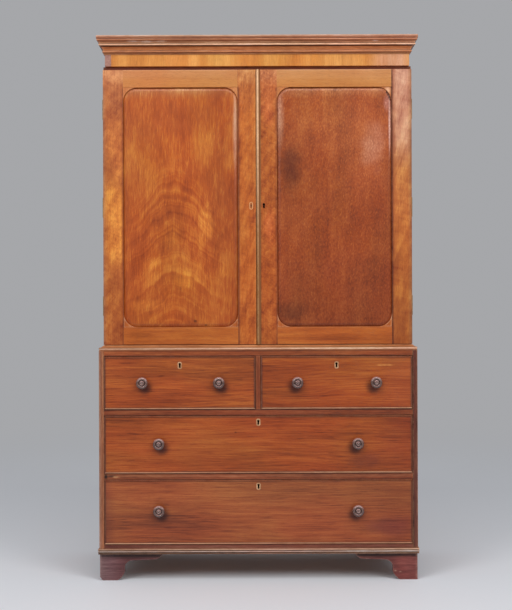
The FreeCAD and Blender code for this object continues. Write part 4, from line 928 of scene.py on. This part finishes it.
DOOR_FRONT = -0.2365
DOOR_BACK = -0.2145
SKIN = 0.0003
AT_FRONT = -0.23
AT_BACK = 0.26
REAR_RAIL_Y = 0.2
REAR_RAIL_HALF = 0.55
DOOR_MIDDLE = 0.3
RAILS_APART = 1.4
RETURNS_FROM = 0.6
DIVIDER_HALF = 0.0125
DIVIDER_FOOT = 0.667
TRAY_FRONT = 0.013
BOX_SIDE = 0.0125
KEYHOLE_REACH = (0.0055, 0.011)
ESCUTCHEON_HALF = 0.009


def paint(name, *choices):
    """Gives each face of a CAD node the first material whose test it passes. The last has none."""
    tested = [c if isinstance(c, tuple) else (c, lambda c: True) for c in choices]
    mesh = nodes[name].data
    mesh.materials.clear()
    for material, _ in tested:
        mesh.materials.append(material)
    for face in mesh.polygons:
        passed = (i for i, (_, test) in enumerate(tested) if test(face.center))
        face.material_index = next(passed, 0)


def at_front(low, depth=SKIN):
    return lambda c: c.y < low.y + depth


def at_ends(low, high, depth):
    return lambda c: min(c.x - low.x, high.x - c.x) < depth


def near_keyhole(c):
    return abs(c.x - KEYHOLE[0]) < KEYHOLE_REACH[0] and abs(c.z - KEYHOLE[1]) < KEYHOLE_REACH[1]


for name, material in {
    "left_door_panel": left_panel,
    "right_door_panel": right_panel,
    "frieze_front": frieze,
    "cornice_front": cornice,
    "cornice_returns": cornice_side,
    "glue_blocks": pine,
    "upper_back_boards": upper_pine,
    "lower_back_boards": lower_pine,
    "dustboards": pine,
    "drawer_runners": carcass_y,
    "tray_runners": carcass_y,
    "case_hinge_leaves": brass,
    "right_door_hinge_leaves": brass,
    "right_door_astragal": astragal_brass,
    "right_door_lock_bolt": lock_bolt_brass,
    "left_door_top_bolt": brass,
    "left_door_bottom_bolt": brass,
}.items():
    paint(name, material)

paint("left_door_stiles", (left_outer, lambda c: c.x < -DOOR_MIDDLE), left_inner)
paint(
    "right_door_stiles",
    (right_outer, lambda c: c.x > DOOR_MIDDLE),
    # The keyhole's walls take painted shade.
    (keyhole_shade, lambda c: c.y > DOOR_FRONT + SKIN and near_keyhole(c)),
    right_inner,
)
for side, top_rail, low_rail in zip(("left", "right"), top_rails, low_rails):
    paint(f"{side}_door_rails", (top_rail, lambda c: c.z > RAILS_APART), low_rail)
    paint(f"{side}_door_spandrels", (low_corner_wood, lambda c: c.z < RAILS_APART), corner_wood)
low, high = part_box("frieze_returns")
paint("frieze_returns", (frieze_end, at_front(low)), frieze_side)
for name in ("upper_sides", "lower_sides"):
    low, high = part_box(name)
    in_front = at_front(low)
    paint(
        name,
        (left_edge, lambda c: c.x < 0 and in_front(c)),
        (shaded_right_edge, in_front),
        (case_side, at_ends(low, high, SKIN)),
        carcass_z,
    )
for name in ("lower_top", "lower_bottom", "upper_top", "upper_bottom"):
    low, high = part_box(name)
    paint(name, (case_rail, at_front(low)), carcass_x)
paint(
    "drawer_rails",
    (divider, lambda c: abs(c.x) < DIVIDER_HALF and c.z > DIVIDER_FOOT),
    case_rail,
)
paint("waist_moulding", (waist, lambda c: abs(c.x) < RETURNS_FROM), waist_side)
paint(
    "base_moulding",
    (carcass_x, lambda c: c.y > REAR_RAIL_Y and abs(c.x) < REAR_RAIL_HALF),
    (base, lambda c: abs(c.x) < RETURNS_FROM),
    base_side,
)
paint(
    "bracket_feet",
    (rear_foot, lambda c: c.y > AT_BACK),
    (left_foot, lambda c: c.y < AT_FRONT and c.x < 0),
    (right_foot, lambda c: c.y < AT_FRONT),
    side_foot,
)
for n in range(1, 5):
    low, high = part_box(f"tray_{n}")
    paint(
        f"tray_{n}",
        (tray_wood, at_front(low, TRAY_FRONT)),
        (lining_y, at_ends(low, high, BOX_SIDE)),
        lining_x,
    )
paint(
    "left_door_brass",
    (bright_brass, lambda c: c.y < AT_FRONT and abs(c.x + KEYHOLE[0]) < ESCUTCHEON_HALF),
    brass,
)
lock_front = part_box("right_door_lock")[0].y + SKIN
paint(
    "right_door_lock",
    # Painted shade on the lock's front and round its keyhole.
    (keyhole_shade, lambda c: c.y < lock_front or (c.y < DOOR_BACK - SKIN and near_keyhole(c))),
    iron,
)

# -------- drawers

DRAWERS = {
    "bottom_drawer": ((104, 46, 28), (156, 80, 43), (184, 106, 58)),
    "middle_drawer": ((104, 40, 14), (160, 74, 28), (190, 102, 44)),
    "top_left_drawer": ((112, 44, 16), (166, 80, 32), (200, 112, 48)),
    "top_right_drawer": ((106, 40, 14), (158, 73, 27), (192, 106, 44)),
}
DRAWER_MARKS = {
    "bottom_drawer": (
        ((-0.59, 0.22), (0.05, 0.3), (112, 48, 38), 0.45),
        # Painted shadow below the right knob.
        ((0.49, 0.205), (0.17, 0.05), (114, 50, 44), 0.6, 9),
    ),
    "middle_drawer": (
        ((-0.088, 0.569), (0.008, 0.006), (66, 22, 8), 0.8, 60),
        # Painted shadow below the right knob.
        ((0.415, 0.46), (0.11, 0.045), (106, 42, 34), 0.5, 12),
    ),
    "top_right_drawer": (((0.486, 0.827), (0.05, 0.006), (200, 118, 60), 0.55, 60),),
}
DRAWER_EDGE = (0.012, (88, 36, 28), 0.6)
RIGHT_END = 0.5
RIGHT_SHADE_X = 0.55
RIGHT_SHADE = ((0.12, 0.3), (130, 54, 28), 0.45)
KNOB_RADIUS = 0.023
# Painted shadow below each knob: how far inwards and down, its reach and its strength.
KNOB_SHADOWS = (((0.005, 0.014), (0.046, 0.042), 0.8), ((0.009, 0.023), (0.031, 0.027), 0.85))
KNOB_SHADOW_TONE = (74, 30, 18)
BEAD_WIDTH = 0.00405
BEAD_DEPTH = 0.0122
ESCUTCHEON_DEPTH = 0.0031
KEYHOLE_DEPTH = 0.019


def knob_places(low, high):
    """The x of both knobs in a box round them, and their height."""
    return (low.x + KNOB_RADIUS, high.x - KNOB_RADIUS), (low.z + high.z) / 2


def bead_test(gap):
    return lambda c: c.y < CASE_FRONT + BEAD_DEPTH and gap(c) < BEAD_WIDTH


for index, (name, tones) in enumerate(DRAWERS.items()):
    low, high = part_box(f"{name}_knobs")
    places, knob_height = knob_places(low, high)
    marks = [
        ((x - math.copysign(inwards, x), knob_height - down), reach, KNOB_SHADOW_TONE, amount)
        for x in places
        for (inwards, down), reach, amount in KNOB_SHADOWS
    ]
    low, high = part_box(f"{name}_front")
    if high.x > RIGHT_END:
        marks.append(((RIGHT_SHADE_X, knob_height), *RIGHT_SHADE))
    marks += DRAWER_MARKS.get(name, ())
    face = wood(
        f"{name}_wood", "x", tones, 40 + index, streak=(0.46, 1.3, 46), fine=(0.6, 7, 220),
        mottle=(0.7, 1.8, 8), fleck=(-0.12, 16, 240), warp=0.035, hue=0.9, wear=0.1,
        patches=marks, border=((low.x, high.x), (low.z, high.z), *DRAWER_EDGE),
    )
    paint(
        f"{name}_front",
        (worn_and_lit_low_bead, bead_test(lambda c: c.z - low.z)),
        (shaded_side_bead, bead_test(lambda c: min(c.x - low.x, high.x - c.x))),
        (bead_top, bead_test(lambda c: high.z - c.z)),
        face,
    )
    low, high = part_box(f"{name}_box")
    paint(f"{name}_box", (lining_y, at_ends(low, high, BOX_SIDE)), lining_x)
    paint(
        f"{name}_lock",
        (escutcheon_brass, lambda c: c.y < CASE_FRONT + ESCUTCHEON_DEPTH),
        # Painted shade on the lock behind the escutcheon, seen through the keyhole.
        (keyhole_shade, lambda c: c.y < CASE_FRONT + KEYHOLE_DEPTH),
        iron,
    )
    paint(f"{name}_bolt", brass)
    paint(f"{name}_knobs", knob_wood)

# -------- eased arrises

ARRIS = 0.0008
FRAME_ARRIS = 0.0004
MOULDED = {
    "waist_moulding": 0.0006,
    "base_moulding": 0.0005,
    "cornice_front": 0.0005,
    "cornice_returns": 0.0005,
}
SHARP = ("hinge_leaves", "brass", "lock", "bolt", "knobs", "astragal")
WELD_DISTANCE = 0.00001
FLAT_ANGLE = math.radians(0.5)
ARRIS_ANGLE = math.radians(35)


def ease(node, width, moulded):
    """Joins the faces of a CAD node and rounds its arrises a little."""
    settle(node.modifiers.new("weld", "WELD"), merge_threshold=WELD_DISTANCE)
    if not moulded:
        flat = node.modifiers.new("flat", "DECIMATE")
        settle(flat, decimate_type="DISSOLVE", angle_limit=FLAT_ANGLE, delimit={"MATERIAL"})
    bevel = node.modifiers.new("arris", "BEVEL")
    settle(bevel, width=width, segments=2, limit_method="ANGLE", angle_limit=ARRIS_ANGLE)
    settle(bevel, use_clamp_overlap=False, loop_slide=False, harden_normals=True)


for name, node in nodes.items():
    if not any(word in name for word in SHARP):
        framed = "door_stiles" in name or "door_rails" in name
        ease(node, MOULDED.get(name, FRAME_ARRIS if framed else ARRIS), name in MOULDED)

# -------- knobs

# Radius and how far out of the drawer front in millimetres, from the spigot to the face's middle.
KNOB_PROFILE = (
    (7, -20), (7, 0.2), (14.5, 0.2), (15.8, 1), (16, 2.2), (15, 3.4), (12.8, 5.2), (11, 8),
    (10.4, 11), (10.8, 14), (12.2, 16.6), (14.6, 18.4), (17.6, 19.2), (20, 20.2), (21.8, 22),
    (22.8, 24.4), (22.9, 26.8), (22.2, 29.2), (20.6, 31.4), (18.4, 33), (16.2, 33.8), (14.2, 33.7),
    (12.6, 32.6), (11.8, 31), (11, 30.2), (10, 30.4), (9.5, 31.6), (9.2, 33.4), (8.4, 35.2),
    (7, 36.2), (5.4, 36.6), (4.5, 36.2), (4, 35.4), (3.4, 35.2), (2.6, 36), (1.2, 36.6),
)
PER_METRE = 1000
KNOB_SIDES = 64


def add_knob(verts, faces, middle):
    """Adds the profile turned about a line to the front, closed at both ends."""
    start = len(verts)
    steps = range(KNOB_SIDES)
    for radius, out in KNOB_PROFILE:
        for step in steps:
            angle = 2 * math.pi * step / KNOB_SIDES
            aside = radius / PER_METRE * math.cos(angle)
            over = radius / PER_METRE * math.sin(angle)
            verts.append((middle.x + aside, middle.y - out / PER_METRE, middle.z + over))
    last = len(verts) - KNOB_SIDES
    for ring in range(start, last, KNOB_SIDES):
        above = ring + KNOB_SIDES
        for step in steps:
            following = (step + 1) % KNOB_SIDES
            faces.append((ring + step, ring + following, above + following, above + step))
    faces.append(tuple(start + step for step in reversed(steps)))
    faces.append(tuple(last + step for step in steps))


def new_piece(name, verts, faces, material, body, smooth):
    mesh = bpy.data.meshes.new(name)
    mesh.from_pydata(verts, [], faces)
    mesh.materials.append(material)
    mesh.validate()
    edit = bmesh.new()
    edit.from_mesh(mesh)
    bmesh.ops.recalc_face_normals(edit, faces=edit.faces)
    edit.to_mesh(mesh)
    edit.free()
    if smooth:
        mesh.shade_smooth()
    piece = bpy.data.objects.new(name, mesh)
    scene.collection.objects.link(piece)
    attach(piece, body)
    return piece


for name in DRAWERS:
    low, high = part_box(f"{name}_knobs")
    places, knob_height = knob_places(low, high)
    verts, faces = [], []
    for x in places:
        add_knob(verts, faces, Vector((x, CASE_FRONT, knob_height)))
    knobs = new_piece(f"{name}_turned_knobs", verts, faces, knob_wood, name, True)
    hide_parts(f"{name}_knobs")

# -------- screws and nails

SCREW_RADIUS = 0.003
SCREW_DEPTHS = (-0.0006, 0.00015)
SCREW_TURN = 1.9
SLOT_HALF_ANGLE = 0.14
BED_RADIUS = 0.0034
BED_DEPTHS = (-0.0008, 0.00003)
LEAF_HALF = 0.038
LEAF_SCREW_IN = 0.0065
LEAF_SCREW_STEP = 0.026
LOCK_SCREW_IN = 0.006
LOCK_BOLT_END = 0.008
ROD_SCREW_X = -0.041
ROD_SCREW_IN = 0.104
CASE_BACK = 0.2915
BACK_BOARDS = 6
NAIL_RADIUS = 0.0032
NAIL_DEPTHS = (-0.003, 0.0003)
NAIL_EDGE_IN = 0.024
NAIL_FOOT_IN = 0.009
NAIL_TOP_IN = 0.01
NAIL_SIDE_IN = 0.006
NAIL_HEIGHTS = (0.2, 0.4, 0.6, 0.8)


def arc(x, z, radius, start, end, steps):
    """Points of an arc seen from the front."""
    angles = (start + (end - start) * step / steps for step in range(steps + 1))
    return [(x + radius * math.cos(angle), z + radius * math.sin(angle)) for angle in angles]


def disc(x, z, radius, sides):
    return arc(x, z, radius, 0, 2 * math.pi * (sides - 1) / sides, sides - 1)


def plates_piece(name, outlines, face, out, depths, material, body):
    """Closed plates with given outlines, between two depths out of a face."""
    verts, faces = [], []
    for outline in outlines:
        start, count = len(verts), len(outline)
        verts += [(x, face + out * depth, z) for depth in depths for x, z in outline]
        faces.append(tuple(range(start, start + count)))
        faces.append(tuple(range(start + 2 * count - 1, start + count - 1, -1)))
        for i in range(start, start + count):
            j = start + (i - start + 1) % count
            faces.append((i, j, count + j, count + i))
    new_piece(name, verts, faces, material, body, False)


def screws(name, places, face, out, body):
    """Slotted screw heads in dark countersinks on a face. Out is 1 to the back, -1 to the front."""
    beds, heads = [], []
    for number, (x, z) in enumerate(places):
        turn = number * SCREW_TURN
        beds.append(disc(x, z, BED_RADIUS, 24))
        for half in (turn, turn + math.pi):
            ends = half + SLOT_HALF_ANGLE, half + math.pi - SLOT_HALF_ANGLE
            heads.append(arc(x, z, SCREW_RADIUS, *ends, 12))
    plates_piece(f"{name}_countersinks", beds, face, out, BED_DEPTHS, iron, body)
    plates_piece(f"{name}_screws", heads, face, out, SCREW_DEPTHS, brass, body)


def lock_screws(low, high, left_in=LOCK_SCREW_IN, top_in=LOCK_SCREW_IN):
    """Places of a lock's four screws, further in at the end that its bolt goes out of."""
    heights = (low.z + LOCK_SCREW_IN, high.z - top_in)
    return [(x, z) for x in (low.x + left_in, high.x - LOCK_SCREW_IN) for z in heights]


leaf_low, leaf_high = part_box("right_door_hinge_leaves")
leaf_middles = (leaf_low.z + LEAF_HALF, (leaf_low.z + leaf_high.z) / 2, leaf_high.z - LEAF_HALF)
hinge_places = [
    (leaf_low.x + LEAF_SCREW_IN, middle + step)
    for middle in leaf_middles
    for step in (-LEAF_SCREW_STEP, 0, LEAF_SCREW_STEP)
]
left_places = [(-x, z) for x, z in hinge_places]
screws("case_hinge", hinge_places + left_places, DOOR_BACK, -1, "case")
low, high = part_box("right_door_lock")
lock_places = lock_screws(low, high, left_in=LOCK_BOLT_END)
screws("right_door", hinge_places + lock_places, DOOR_BACK, 1, "right_door")
low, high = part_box("left_door_brass")
rod_places = [(ROD_SCREW_X, low.z + ROD_SCREW_IN), (ROD_SCREW_X, high.z - ROD_SCREW_IN)]
screws("left_door", left_places + rod_places, DOOR_BACK, 1, "left_door")
for name in DRAWERS:
    low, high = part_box(f"{name}_lock")
    screws(f"{name}_lock", lock_screws(low, high, top_in=LOCK_BOLT_END), high.y, 1, name)

for part in ("upper", "lower"):
    low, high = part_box(f"{part}_back_boards")
    board = (high.x - low.x) / BACK_BOARDS
    spots = []
    for n in range(BACK_BOARDS):
        for x in (low.x + board * n + NAIL_EDGE_IN, low.x + board * (n + 1) - NAIL_EDGE_IN):
            spots += [(x, low.z + NAIL_FOOT_IN), (x, high.z - NAIL_TOP_IN)]
    for x in (low.x + NAIL_SIDE_IN, high.x - NAIL_SIDE_IN):
        spots += [(x, low.z + (high.z - low.z) * share) for share in NAIL_HEIGHTS]
    outlines = [disc(x, z, NAIL_RADIUS, 10) for x, z in spots]
    plates_piece(f"{part}_nails", outlines, CASE_BACK, 1, NAIL_DEPTHS, iron, "case")

# -------- floor

FLOOR_HALF = 30
FLOOR_COLOUR = (0.83, 0.855, 0.895, 1)
FLOOR_FADE = (1.2, 6)

corners = [(x * FLOOR_HALF, y * FLOOR_HALF, 0) for x, y in ((-1, -1), (1, -1), (1, 1), (-1, 1))]
floor_mesh = bpy.data.meshes.new("floor")
floor_mesh.from_pydata(corners, [], [(0, 1, 2, 3)])
floor = bpy.data.objects.new("floor", floor_mesh)
scene.collection.objects.link(floor)
shader = Shader("floor")
shader.set(Base_Color=FLOOR_COLOUR, Roughness=0.8, Specular_IOR_Level=0.2)
away = shader.vector("LENGTH", shader.place, output="Value")
glow = shader.fill(shader.node("ShaderNodeEmission"), 0, Color=BACKDROP)
parts = (shader.remap(away, *FLOOR_FADE), shader.surface.outputs[0], glow)
blend = shader.apply(shader.node("ShaderNodeMixShader"), parts)
output = shader.tree.nodes["Material Output"]
shader.feed(output.inputs["Surface"], blend)
floor_mesh.materials.append(shader.material)
